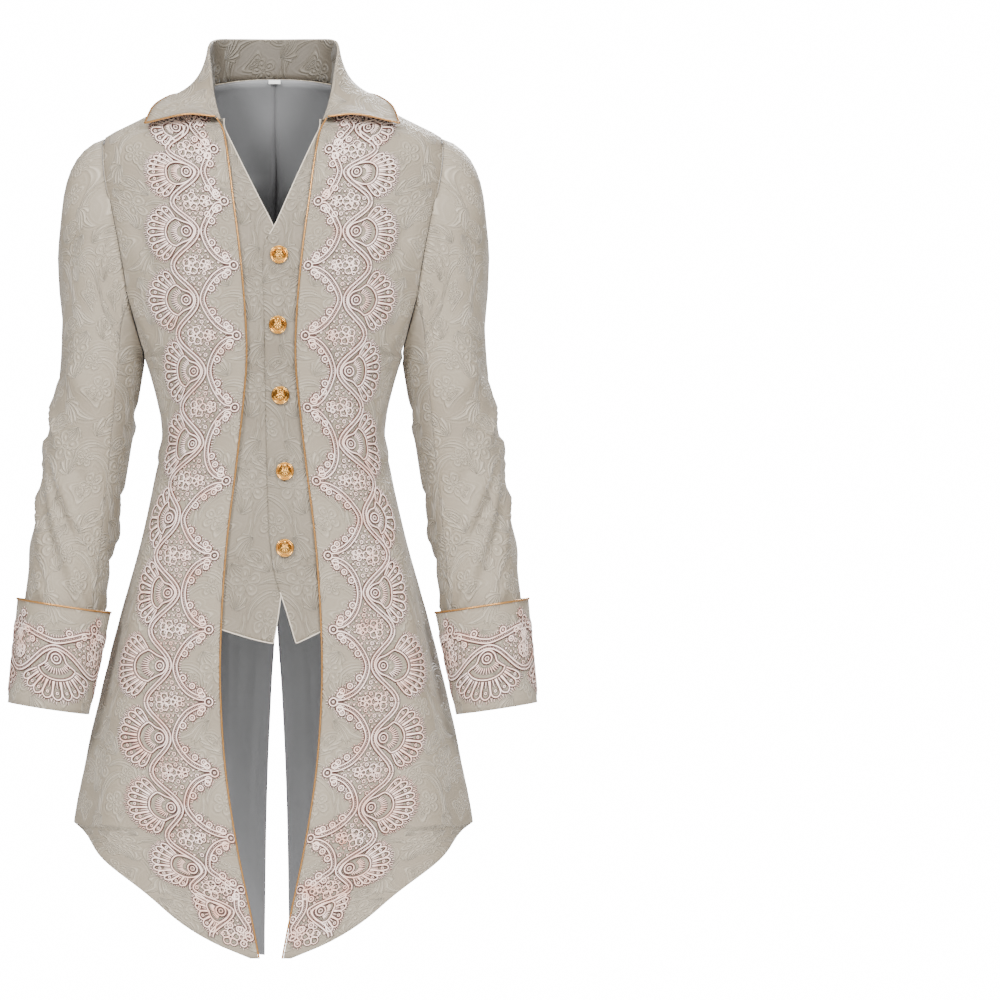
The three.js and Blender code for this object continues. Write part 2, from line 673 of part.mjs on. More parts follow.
// Collar: a stand from the neck seam to the roll line, and the leaf that turns down from it
const collarSeam = COLLAR.map(({ ring, turn }) => {
  const onFront = turn === undefined
  const angle = onFront ? frontAngle(read(FRONT_EDGE, 'x', ring), ring) : degrees(turn)
  return bodyPoint(angle, ring).addScaledVector(bodyNormal(angle, ring), -CLOTH / 2)
    .add(new THREE.Vector3(onFront ? -CLOTH - COLLAR_LIFT : 0, 0, COLLAR_LIFT))
})
const vectors = (column) => COLLAR.map((station) => new THREE.Vector3(...station[column]))
const control = COLLAR.map(({ fold, edge, hangOut, hangDown }) => new THREE.Vector3(
  mix(fold[0], edge[0], hangOut), mix(fold[1], edge[1], hangOut), mix(fold[2], edge[2], hangDown)))

// A full line round the collar through the stations of one half, with a corner at the tips if asked
function collarLine(half, cornered) {
  const other = half.slice(1).reverse().map((p) => new THREE.Vector3(-p.x, p.y, p.z))
  const all = [...other, ...half]
  const middle = half.length - 1
  const cuts = cornered ? [0, middle - COLLAR_TIP_STATION, middle + COLLAR_TIP_STATION, all.length - 1]
    : [0, all.length - 1]
  const line = []
  for (let i = 0; i < cuts.length - 1; i++) {
    const stretch = all.slice(cuts[i], cuts[i + 1] + 1)
    const points = new THREE.CatmullRomCurve3(stretch, false, 'catmullrom', 0.5)
      .getPoints((stretch.length - 1) * COLLAR_STEPS)
    line.push(...(i ? points.slice(1) : points))
  }
  return line
}

const seamLine = collarLine(collarSeam, false)
const foldLine = collarLine(vectors('fold'), false)
const controlLine = collarLine(control, true)
const leafEdge = collarLine(vectors('edge'), true)

// Moves a grid along its own normals
function moved(grid, distance) {
  return grid.map((row, r) => row.map((point, c) => {
    const along = row[Math.min(c + 1, row.length - 1)].clone().sub(row[Math.max(c - 1, 0)])
    const above = grid[Math.max(r - 1, 0)][c]
    const below = grid[Math.min(r + 1, grid.length - 1)][c]
    return point.clone().addScaledVector(along.cross(below.clone().sub(above)).normalize(), distance)
  }))
}

const stand = Array.from({ length: STAND_ROWS + 1 }, (_, r) =>
  foldLine.map((fold, c) => fold.clone().lerp(seamLine[c], r / STAND_ROWS)))
const standOut = moved(stand, CLOTH)
add('collar_stand', wall(standOut, stand), brocade)

const leafTop = moved(stand, 2 * CLOTH + SEAM_GAP)[0]
const leaf = Array.from({ length: LEAF_ROWS + 1 }, (_, r) => {
  const t = r / LEAF_ROWS
  return leafTop.map((top, c) => top.clone().multiplyScalar((1 - t) ** 2)
    .addScaledVector(controlLine[c], 2 * t * (1 - t)).addScaledVector(leafEdge[c], t * t))
})
add('collar_leaf', wall(leaf, moved(leaf, -CLOTH)), brocade)
const leafCord = beside(leaf.at(-1), leaf.at(-2), besideCord + LEAF_CORD_LIFT)
const tipPoint = (COLLAR.length - 1 - COLLAR_TIP_STATION) * COLLAR_STEPS
add('piping_collar_back', cord(leafCord.slice(tipPoint, -tipPoint), LEAF_CORD_STEPS.back), goldCord)
addPair('piping_collar', cord(leafCord.slice(-tipPoint), LEAF_CORD_STEPS.tip), goldCord)

// Buttons, sewn to the left side of the waistcoat by their shanks
function button() {
  const { radius, height, rim, shank, shankHeight, segments } = BUTTON
  const profile = [
    [0, 0], [shank, 0], [shank, shankHeight], [radius, shankHeight], [radius, shankHeight + rim],
    [radius - 1.6, shankHeight + rim + 0.5], [radius * 0.62, height - 1], [0, height],
  ]
  return welded(new THREE.LatheGeometry(profile.map(([x, y]) => new THREE.Vector2(x, y)), segments))
}

BUTTONS.forEach(({ x, z }, i) => {
  const angle = frontAngle(x, z)
  const normal = bodyNormal(angle, z)
  const geometry = button()
  geometry.applyQuaternion(new THREE.Quaternion().setFromUnitVectors(new THREE.Vector3(0, 1, 0), normal))
  const seat = bodyPoint(angle, z).addScaledVector(normal, -VEST_SINK + SEAM_GAP)
  geometry.translate(seat.x, seat.y, seat.z)
  add(`button_${i + 1}`, geometry, goldMetal)
})

// Neck label
const labelBack = bodyPoint(Math.PI, -10)
const label = new THREE.BoxGeometry(LABEL.width, LABEL.thickness, LABEL.height)
label.translate(0, labelBack.y - liningTop - LINING - LAYER_GAP - 2 * LABEL.thickness,
  labelBack.z - LABEL.drop - LABEL.height / 2)
add('neck_label', welded(label), tape)

// Lace: a thin layer over its panel, cut to its outline and pierced
function toSolid(geometry) {
  return new wasm.Manifold(new wasm.Mesh({
    numProp: 3,
    vertProperties: new Float32Array(geometry.attributes.position.array),
    triVerts: new Uint32Array(geometry.index.array),
  }))
}

function fromSolid(solid) {
  const mesh = solid.getMesh()
  const geometry = new THREE.BufferGeometry()
  geometry.setAttribute('position', new THREE.Float32BufferAttribute(mesh.vertProperties, 3))
  geometry.setIndex(Array.from(mesh.triVerts))
  return geometry
}

function prism(outline, depth) {
  const shape = new THREE.Shape(outline.map(([x, y]) => new THREE.Vector2(x, y)))
  return turnedOut(welded(new THREE.ExtrudeGeometry(shape, { depth, bevelEnabled: false })))
}

// Prisms that look along the coat from the front: the outline's axes are outwards and up
const CUT_DEPTH = 260
function frontPrism(outline) {
  return toSolid(prism(outline, CUT_DEPTH).rotateX(Math.PI / 2))
}

function laceOutline() {
  const outer = FANS.flatMap((fan, i) => {
    const above = i ? (FANS[i - 1].z - fan.z) / 2 : 16
    const below = i < FANS.length - 1 ? (fan.z - FANS[i + 1].z) / 2 : 40
    return Array.from({ length: SCALLOP_POINTS }, (_, k) => {
      const t = Math.sin(degrees(mix(-80, 80, k / (SCALLOP_POINTS - 1))))
      const swell = VALLEY_SHARE + (1 - VALLEY_SHARE) * Math.sqrt(1 - t * t)
      return [fan.x + fan.reach * swell, fan.z - 0.94 * t * (t < 0 ? above : below)]
    })
  })
  const inner = FANS.flatMap((fan, i) => {
    const next = FANS[i + 1] ?? { x: 74, z: -1050 }
    const crown = (fan.x + next.x) / 2 - fan.tongue
    const middle = (fan.z + next.z) / 2
    const half = Math.min(TONGUE_HALF, (fan.z - next.z) / 3)
    const rest = i ? [[fan.x - REST, fan.z + 4]] : []
    return [...rest, [crown + TONGUE_CROWN, middle + half], [crown, middle],
      [crown + TONGUE_CROWN, middle - half]]
  })
  return [[LACE_TOP.inner, LACE_TOP.z], [LACE_TOP.outer, LACE_TOP.z], ...outer,
    [LACE_END.x, LACE_END.z], [LACE_END.inner, LACE_END.z], ...inner.reverse()]
}

const laceSlab = toSolid(turnedOut(wall(frontGrid(SEAM_GAP + LACE), frontGrid(SEAM_GAP))))
let frontLace = laceSlab.intersect(frontPrism(laceOutline()))
FANS.slice(1).forEach((fan, i) => {
  FAN_WINDOWS.forEach((window) => {
    frontLace = frontLace.subtract(frontPrism(window.map(([x, z]) => [fan.x + x, fan.z + z])))
  })
  const next = FANS[i + 2]
  if (!next) return
  const crown = [(fan.x + next.x) / 2 - fan.tongue, (fan.z + next.z) / 2]
  frontLace = frontLace.subtract(frontPrism(TONGUE_WINDOW.map(([x, z]) => [crown[0] + x, crown[1] + z])))
})
addPair('lace_front', fromSolid(frontLace), lace)

// Cuff lace in two halves, pierced round each fan's eye
function cuffCutter(window, share, height) {
  const middle = cuffPoint(share, height, 0)
  const out = cuffPoint(share, height, 1).sub(middle).normalize()
  const up = cuffPoint(share, height + 0.1, 0).sub(middle).normalize()
  const across = up.clone().cross(out).normalize()
  const frame = new THREE.Matrix4().makeBasis(across, out.clone().cross(across), out)
  const cutter = prism(window.map(([x, y]) => [y, -x]), 12)
  cutter.translate(0, 0, -6)
  return toSolid(turnedOut(cutter.applyMatrix4(frame.setPosition(middle))))
}

const cuffHeight = CUFF.top - CUFF.bottom
const laceLow = CUFF_LACE.bottomMargin / cuffHeight
const laceHigh = 1 - CUFF_LACE.topMargin / cuffHeight
const column = 1 / CUFF_COLUMNS
for (const [half, from, to] of [['front', column, 0.499], ['back', 0.501, 1 - column]]) {
  const grid = (offset) => cuffGrid(offset, from, to, laceLow, laceHigh, CUFF_COLUMNS / 2 - 1)
  let cuffLace = toSolid(turnedOut(wall(grid(SEAM_GAP + LACE), grid(SEAM_GAP))))
  for (let i = 0; i < CUFF_FANS; i++) {
    const share = (i + 0.5) / CUFF_FANS
    FAN_WINDOWS.forEach((window) => {
      cuffLace = cuffLace.subtract(cuffCutter(window, share, CUFF_LACE.eyeHeight / cuffHeight))
    })
  }
  addPair(`lace_cuff_${half}`, fromSolid(cuffLace), lace)
}

export default coat
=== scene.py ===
"""Brocade tailcoat with lace, filled out as if worn, laid out as a Blender add-on.

The tables are in millimetres in the coat's frame: +Z up, the front faces -Y, the wearer's left is +X,
and the origin is the middle of the neck base. Meshes are in metres.
"""

from math import cos, pi, radians, sin

import bmesh
import bpy
import numpy as np
from bpy.props import FloatProperty, FloatVectorProperty, IntProperty, PointerProperty
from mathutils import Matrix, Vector


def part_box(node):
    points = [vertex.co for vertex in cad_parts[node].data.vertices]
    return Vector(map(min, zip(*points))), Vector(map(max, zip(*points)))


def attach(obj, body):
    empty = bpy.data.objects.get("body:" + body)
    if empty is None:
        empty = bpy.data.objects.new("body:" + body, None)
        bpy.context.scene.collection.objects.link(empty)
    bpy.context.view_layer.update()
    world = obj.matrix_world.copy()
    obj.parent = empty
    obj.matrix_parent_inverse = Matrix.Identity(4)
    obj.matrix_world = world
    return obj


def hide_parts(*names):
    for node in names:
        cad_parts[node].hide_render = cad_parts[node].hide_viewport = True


bl_info = {
    "name": "Brocade Tailcoat",
    "version": (1, 0, 0),
    "blender": (4, 5, 0),
    "location": "3D View > Sidebar > Tailcoat",
    "description": "Builds the cloth, lace, piping and buttons of a historic tailcoat on its solid form",
    "category": "Object",
}

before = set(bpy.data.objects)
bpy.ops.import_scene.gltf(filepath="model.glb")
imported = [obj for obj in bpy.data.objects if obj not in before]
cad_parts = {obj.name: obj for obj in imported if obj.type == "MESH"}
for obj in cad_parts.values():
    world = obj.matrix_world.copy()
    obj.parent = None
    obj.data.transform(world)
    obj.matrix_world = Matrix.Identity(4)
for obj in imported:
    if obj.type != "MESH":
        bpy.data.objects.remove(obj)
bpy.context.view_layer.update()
MM = 0.001
SIDES = ("left", "right")


def columns(names, rows):
    """A table with named columns, as one array for each name."""
    return dict(zip(names.split(), np.array(rows, float).T))


# The coat's form: rings of the body from the top down
SQUARENESS = 2.4
BODY_RINGS = columns("z half_width front back", [
    (-10, 82, 14, 53), (-22, 108, 32, 63), (-36, 134, 50, 73), (-50, 160, 66, 81), (-63, 186, 78, 88),
    (-76, 210, 86, 94), (-98, 219, 95, 104), (-125, 221, 103, 112), (-185, 217, 113, 121),
    (-250, 201, 118, 121), (-318, 176, 117, 112), (-351, 161.5, 113, 104), (-380, 152, 110, 98),
    (-415, 143.5, 107, 92), (-450, 139.5, 105, 90), (-490, 146.5, 105, 94), (-575, 166, 108, 110),
    (-663, 187, 112, 128), (-755, 208, 116, 143), (-854, 231, 120, 153), (-931, 245, 124, 159),
    (-1106, 260, 130, 168),
])
NECK_RISE = 10
NECK_RISE_ENDS = -60
FLUTE_STARTS, FLUTE_FULL, FLUTE_SHARE, FLUTE_WAVES = -520, -1000, 0.022, 9

SHOULDER_POINT, ARMPIT, SIDE_BACK_TOP = -76, -351, -216
BACK_HEM_CORNER, FRONT_HEM_CORNER, SIDE_BACK_TIP = -804, -931, -954
FRONT_TIP, BACK_TIP, VENT_TOP, NECK_TOP = -1095, -1106, -663, -10

FRONT_EDGE = columns("z x", [
    (-10, 75), (-22, 76), (-36, 74.5), (-50, 70), (-63, 63), (-98, 56), (-155, 48.5), (-216, 40.5),
    (-285, 34), (-351, 31.5), (-415, 36.5), (-490, 45), (-575, 55.5), (-663, 62), (-755, 64),
    (-860, 57.5), (-954, 43.5), (-1050, 24), (-1095, 15.5),
])
ARMHOLE = columns("z front back", [
    (-76, 209.5, 209.5), (-98, 210, 204.5), (-125, 207.5, 199), (-155, 202, 193), (-185, 196, 187),
    (-216, 190, 181), (-250, 184, 176), (-285, 177.5, 171), (-318, 169, 165), (-342, 162, 160.5),
    (-351, 158, 158),
])
SIDE_SEAM_AT_ARMPIT, SIDE_SEAM_AT_HEM = radians(90), radians(104)
SIDE_BACK_SEAM = columns("z x", [
    (-216, 173), (-250, 141), (-285, 125), (-351, 117), (-450, 121), (-530, 131), (-663, 138),
    (-804, 145), (-954, 151),
])
FRONT_HEM = columns("z x", [
    (-931, 245), (-954, 229), (-985, 194), (-1018, 154), (-1050, 114), (-1076, 70), (-1095, 25),
])
SIDE_BACK_HEM = columns("z x", [
    (-804, 214), (-829, 210), (-860, 203), (-895, 190), (-931, 173), (-954, 158),
])
BACK_HEM = columns("z x", [
    (-954, 151), (-985, 135), (-1018, 107), (-1050, 79), (-1076, 56), (-1095, 35), (-1106, 25),
])
VENT = columns("z x", [
    (-663, 0.2), (-706, 2.2), (-755, 5.6), (-804, 8.2), (-860, 11), (-931, 13.5), (-1018, 15),
    (-1106, 15.5),
])

# Waistcoat: x past the middle of the front is negative
VEST_TOP, VEST_HEM, VEST_HEM_RISE, VEST_UNDERLAP = -52, -706, 22, 12
VEST_EDGES = {
    "left": columns("z x", [
        (-63, 60), (-98, 44), (-155, 19), (-185, 6), (-216, -9), (-318, -8), (-490, -5.6), (-575, -2),
        (-620, 4), (-663, 18), (-706, 31),
    ]),
    "right": columns("z x", [
        (-63, 60), (-98, 43), (-155, 14.5), (-185, -1), (-216, -12), (-250, -14), (-620, -14),
        (-663, -10), (-706, -3),
    ]),
}

# Sleeve: sections across a slanting axis
SLEEVE_TILT = radians(8.6)
SLEEVE = columns("z x y half_width half_depth", [
    (-351, 214, 2, 53.5, 64), (-420, 224.5, 1, 53, 61), (-500, 236.5, -3, 52.5, 57),
    (-580, 248.5, -11, 51.5, 53), (-650, 259, -22, 50, 50), (-720, 269, -33, 49, 48.5),
    (-788, 279, -43, 48.5, 47.5),
])
ARMHOLE_HEIGHTS = [-98, -125, -155, -185, -216, -250, -285, -318, -342]
ARMHOLE_COUNT, ARMHOLE_STEPS = 2 * len(ARMHOLE_HEIGHTS) + 2, 12
HINDARM_COLUMN, FOREARM_COLUMN = -5, 7
HINDARM_ANGLE, FOREARM_AT_BICEPS, FOREARM_AT_WRIST = -84, 116, 150
CAP_OUT, CAP_OUT_SWING, CAP_DOWN, CAP_DOWN_SWING = 0.62, 0.35, 0.55, -0.25
CAP_ROWS, CAP_SEAM_GAP = 16, 0.2
SLEEVE_CREASE_SHARE, SLEEVE_SEAM_DEPTH, SLEEVE_SEAM_WIDTH = 1.6, 0.9, 2.2
ARMHOLE_SEAM_DEPTH, ARMHOLE_SEAM_WIDTH = 0.5, 3.0

# Cuff
CUFF_BOTTOM, CUFF_TOP, CUFF_SLIT_ANGLE, CUFF_SLIT_WIDTH = -788, -661, 278, 2
CUFF_NOTCH_DEPTH, CUFF_NOTCH_DEGREES = 18, 34
CUFF_NOTCH_POWER = 1.3
CUFF_HALF_WIDTHS, CUFF_HALF_DEPTHS = (51.3, 59), (50.3, 57)
CUFF_COLUMNS, CUFF_ROWS, CUFF_SLIT_ROWS = 64, 18, 8
CUFF_SHIFT, CUFF_CORD_OUT, CUFF_CORD_UP = (0.06, 0.09), 0.2, 0.6

# Collar stations from the middle of the back to the front end of the roll line.
# Turn is degrees round the neck from the front; a station without one lies on the front's own edge.
COLLAR = [
    {"ring": -10, "turn": 180, "fold": (0, 57, 49), "edge": (0, 70, -7), "out": 1.1, "down": 0.35},
    {"ring": -10, "turn": 150, "fold": (46, 51, 49), "edge": (52, 68, -11), "out": 1.0, "down": 0.4},
    {"ring": -10, "turn": 120, "fold": (72, 31, 47), "edge": (92, 50, -17), "out": 0.5, "down": 0.65},
    {"ring": -10, "turn": 90, "fold": (79, 4, 38), "edge": (120, 14, -20), "out": 0.24, "down": 0.8},
    {"ring": -10, "fold": (79, -9, 26), "edge": (136, -8, -27), "out": 0.22, "down": 0.76},
    {"ring": -22, "fold": (77, -21, 11), "edge": (149, -32, -39), "out": 0.22, "down": 0.7},
    {"ring": -36, "fold": (74, -41, -14), "edge": (157, -66, -60), "out": 0.3, "down": 0.55},
    {"ring": -50, "fold": (69, -61, -38), "edge": (106, -86, -50), "out": 0.4, "down": 0.4},
    {"ring": -63, "fold": (63.5, -77, -56), "edge": (69, -83, -53), "out": 0.5, "down": 0.5},
]
COLLAR_TIP_STATION = 6
COLLAR_LIFT = 0.9

# Piping
CORD_RADIUS, FRONT_CORD_RADIUS, CORD_TWIST = 1.4, 1.3, 5.0
PIPING_START, PIPING_TOP, PIPING_INNER_COLUMN = (68.0, -83.0, -54.5), -62, 3

BUTTONS = [(10, -225), (8.5, -312), (11.5, -399), (17, -493), (17, -588)]
VEST_SINK, VEST_LAP_SINK, VEST_LAP_TOP = 4.0, 3.0, -170
VEST_LAP_STARTS, VEST_LAP_WIDTH = 0.35, 0.55
VEST_THICKNESS, VEST_CREASE_SHARE, VEST_EDGE_DEPTH, VEST_EDGE_WIDTH = 1.3, 0.8, 1.3, 1.6
VEST_RISE_STARTS, VEST_RISE_FULL = -680, -706
VEST_SHIFT = (0.041, 0.033)
VEST_EDGING_ENDS, VEST_EDGING_STARTS, EDGING_RADIUS = -206, -640, 0.75

# Lace fans down the front: the eye, how far the scallop stands out beyond it, and how far the
# tongue below it reaches back towards the front edge
FANS = columns("x z reach tongue", [
    (120, -66, 34, 46), (106, -122, 52, 52), (106, -196, 52, 64), (106, -281, 50, 63), (97, -369, 38, 57),
    (99, -459, 32, 62), (128, -551, 24, 62), (129, -644, 38, 61), (139, -734, 52, 66),
    (139, -823, 53, 66), (124, -909, 58, 66), (98, -984, 52, 56),
    (62, -1036, 30, 34),
])
LACE_TOP, LACE_BOTTOM = -52, -1068
CUFF_FANS, CUFF_EYE_HEIGHT, CUFF_FAN_REACH, CUFF_TONGUE = 3, 62, 54.0, 46.0
CUFF_LACE_ROW, CUFF_LACE_MARGIN = -6, 4
# The lace strips as cut: width and length in metres, and the area inside their outline
FRONT_LACE_CUT, CUFF_LACE_CUT = (0.125, 1.07, 0.097), (0.338, 0.115, 0.029)


# Shapes

def read(table, column, z):
    """A column of a table at any height, as a smooth curve through its rows."""
    heights, values = table["z"], table[column]
    z = np.clip(z, heights[-1], heights[0])
    last = len(heights) - 1
    i = np.clip(np.searchsorted(-heights, -z) - 1, 0, last - 1)
    step = heights[i + 1] - heights[i]
    t = (z - heights[i]) / step

    def slope(a, b):
        return (values[b] - values[a]) / (heights[b] - heights[a])

    start = slope(np.maximum(i - 1, 0), i + 1) * step
    end = slope(i, np.minimum(i + 2, last)) * step
    return (values[i] * (1 + 2 * t) * (1 - t) ** 2 + start * t * (1 - t) ** 2
            + values[i + 1] * t * t * (3 - 2 * t) + end * t * t * (t - 1))


def body_point(angle, z):
    """Points of the body: angle 0 is the middle of the front and pi the middle of the back."""
    angle, z = np.broadcast_arrays(np.asarray(angle, float), np.asarray(z, float))
    side, facing = np.sin(angle), np.cos(angle)
    grown = np.clip((FLUTE_STARTS - z) / (FLUTE_STARTS - FLUTE_FULL), 0, 1)
    spread = 1 + FLUTE_SHARE * grown * np.sin(angle * FLUTE_WAVES) * side
    depth = np.where(facing > 0, read(BODY_RINGS, "front", z), read(BODY_RINGS, "back", z))
    rise = np.where(facing < 0, NECK_RISE * np.clip((z - NECK_RISE_ENDS) / 50, 0, 1), 0)
    power = 2 / SQUARENESS
    return np.stack([
        read(BODY_RINGS, "half_width", z) * np.sign(side) * np.abs(side) ** power * spread,
        -depth * np.sign(facing) * np.abs(facing) ** power * spread,
        z + rise * facing * facing,
    ], axis=-1)


def front_angle(x, z):
    share = np.clip(np.abs(x) / read(BODY_RINGS, "half_width", z), 0, 1)
    return np.sign(x) * np.arcsin(share ** (SQUARENESS / 2))


def back_angle(x, z):
    return pi - front_angle(x, z)


def side_seam_angle(z):
    share = np.clip((ARMPIT - z) / (ARMPIT - BACK_HEM_CORNER), 0, 1)
    return SIDE_SEAM_AT_ARMPIT + (SIDE_SEAM_AT_HEM - SIDE_SEAM_AT_ARMPIT) * share


def front_outer(z):
    rising = (BACK_HEM_CORNER - z) / (BACK_HEM_CORNER - FRONT_HEM_CORNER)
    return np.select(
        [z >= SHOULDER_POINT, z > ARMPIT, z >= BACK_HEM_CORNER, z >= FRONT_HEM_CORNER],
        [np.full_like(z, pi / 2), front_angle(read(ARMHOLE, "front", z), z), side_seam_angle(z),
         SIDE_SEAM_AT_HEM + (pi / 2 - SIDE_SEAM_AT_HEM) * rising],
        front_angle(read(FRONT_HEM, "x", z), z))


def front_inner(z):
    return front_angle(read(FRONT_EDGE, "x", z), z)


def side_back_outer(z):
    return np.select(
        [z > ARMPIT, z >= BACK_HEM_CORNER],
        [back_angle(read(ARMHOLE, "back", z), z), side_seam_angle(z)],
        back_angle(read(SIDE_BACK_HEM, "x", z), z))


def side_back_inner(z):
    return back_angle(read(SIDE_BACK_SEAM, "x", z), z)


def back_outer(z):
    return np.select(
        [z >= SHOULDER_POINT, z > SIDE_BACK_TOP, z >= SIDE_BACK_TIP],
        [np.full_like(z, pi / 2), back_angle(read(ARMHOLE, "back", z), z), side_back_inner(z)],
        back_angle(read(BACK_HEM, "x", z), z))


def back_inner(z):
    return back_angle(np.where(z > VENT_TOP, 0.0, read(VENT, "x", z)), z)


def heights(top, bottom, step):
    """Row heights from top to bottom, about a step apart."""
    return np.linspace(top, bottom, max(2, round((top - bottom) / step) + 1))


def edged_shares(count, margin=0.02):
    """Column positions from 0 to 1, with a close column beside each edge for a turned-in seam."""
    return np.concatenate([[0, margin * 0.5], np.linspace(margin, 1 - margin, count), [1 - margin * 0.5, 1]])


def normals_of(grid, inside):
    """Unit normals of a grid of points, to the side away from a point inside the coat."""
    across = np.gradient(grid, axis=1)
    down = np.gradient(grid, axis=0)
    normal = np.cross(across, -down)
    normal /= np.maximum(np.linalg.norm(normal, axis=-1, keepdims=True), 1e-9)
    r, c = len(grid) // 2, grid.shape[1] // 2
    return normal * np.sign(np.dot(grid[r, c] - np.array(inside), normal[r, c]))


def lengths_of(grid):
    """How far along the cloth each point lies: across from the first column, and down its own column."""
    across = np.linalg.norm(np.diff(grid, axis=1), axis=-1)
    down = np.linalg.norm(np.diff(grid, axis=0), axis=-1)
    across = np.concatenate([np.zeros((len(grid), 1)), np.cumsum(across, axis=1)], axis=1)
    down = np.concatenate([np.zeros((1, grid.shape[1])), np.cumsum(down, axis=0)], axis=0)
    return across, down


def creased(grid, creases, depth, inside):
    """Moves a panel along its normals into the given creases.

    A crease is its middle as shares across and down the panel, its turn in degrees from level,
    its length, width and height in millimetres, and how much it bends.
    """
    across, down = lengths_of(grid)
    relief = np.zeros(across.shape)
    for s, t, turn, length, width, height, bend in creases:
        r = int(round(t * (len(grid) - 1)))
        middle = np.interp(s, [0, 1], [0, across[r, -1]])
        x = across - middle - (across[:, -1:] - across[r, -1]) * s
        y = -(down - down[r].mean())
        along = x * cos(radians(turn)) + y * sin(radians(turn))
        aside = -x * sin(radians(turn)) + y * cos(radians(turn))
        aside = aside - bend * along ** 2 / length
        reach = np.clip(1 - (2 * along / length) ** 2, 0, 1) ** 1.5
        relief += depth * height * reach * np.exp(-(aside / width) ** 2)
    return grid + normals_of(grid, inside) * relief[..., None]


def turned_in(grid, edges, depth, width, inside):
    """Rolls the named edges of a panel inwards, as a seam allowance does."""
    across, down = lengths_of(grid)
    near = {"left": across, "right": across[:, -1:] - across, "top": down, "bottom": down[-1:] - down}
    sink = sum(depth * np.exp(-(near[edge] / width) ** 2) for edge in edges)
    return grid - normals_of(grid, inside) * np.asarray(sink)[..., None]


def smooth_line(points, count):
    """A smooth curve through points, with the same number of steps between each pair."""
    points = np.asarray(points, float)
    padded = np.concatenate([[2 * points[0] - points[1]], points, [2 * points[-1] - points[-2]]])
    t = (np.arange(count) / count)[:, None]
    spans = []
    for a, b, c, d in zip(padded, padded[1:], padded[2:], padded[3:]):
        spans.append(0.5 * (2 * b + (c - a) * t + (2 * a - 5 * b + 4 * c - d) * t ** 2
                            + (3 * b - a - 3 * c + d) * t ** 3))
    return np.concatenate([*spans, points[-1:]])


def respaced(points, step):
    """The same line with its points an even step apart."""
    points = np.asarray(points, float)
    lengths = np.concatenate([[0], np.cumsum(np.linalg.norm(np.diff(points, axis=0), axis=1))])
    places = np.linspace(0, lengths[-1], max(2, int(round(lengths[-1] / step)) + 1))
    return np.stack([np.interp(places, lengths, points[:, k]) for k in range(points.shape[1])], axis=1)


class Surface:
    """A finished panel that trimmings are laid on: a point for each distance across and height."""

    def __init__(self, grid, rows, inside):
        self.grid, self.rows = grid, np.asarray(rows, float)
        self.normal = normals_of(grid, inside)
        self.across = lengths_of(grid)[0]

    def across_at(self, x, z):
        """The distance across the panel, from its first column, of a point x from the coat's middle."""
        r = int(np.argmin(np.abs(self.rows - z)))
        return float(np.interp(x, np.abs(self.grid[r, :, 0]), self.across[r]))

    def place(self, across, row_value, lift):
        """Points on the panel, moved out along its normals by lift."""
        order = -np.sign(self.rows[-1] - self.rows[0])
        place = np.interp(-order * row_value, -order * self.rows, np.arange(len(self.rows)))
        upper = np.clip(place.astype(int), 0, len(self.rows) - 2)
        share = place - upper
        found = np.zeros((len(across), 3))
        facing = np.zeros((len(across), 3))
        column = np.arange(self.across.shape[1])
        for r in np.unique(upper):
            here = upper == r
            for row, weight in ((r, 1 - share[here]), (r + 1, share[here])):
                at = np.interp(across[here], self.across[row], column)
                low = np.clip(at.astype(int), 0, len(column) - 2)
                part = (at - low)[:, None]
                for source, total in ((self.grid, found), (self.normal, facing)):
                    total[here] += weight[:, None] * (
                        source[row, low] * (1 - part) + source[row, low + 1] * part)
        facing /= np.maximum(np.linalg.norm(facing, axis=1, keepdims=True), 1e-9)
        return found + facing * np.asarray(lift)[:, None]


# Meshes

def finished(mesh, name, materials, slot, replaced=(), smooth=True):
    """Puts a mesh in the scene as a piece of the coat."""
    piece = bpy.data.objects.new(name, mesh)
    bpy.context.scene.collection.objects.link(piece)
    for material in materials:
        mesh.materials.append(material)
    if smooth:
        mesh.polygons.foreach_set("use_smooth", [True] * len(mesh.polygons))
    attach(piece, "root")
    if replaced:
        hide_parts(*replaced)
    return piece


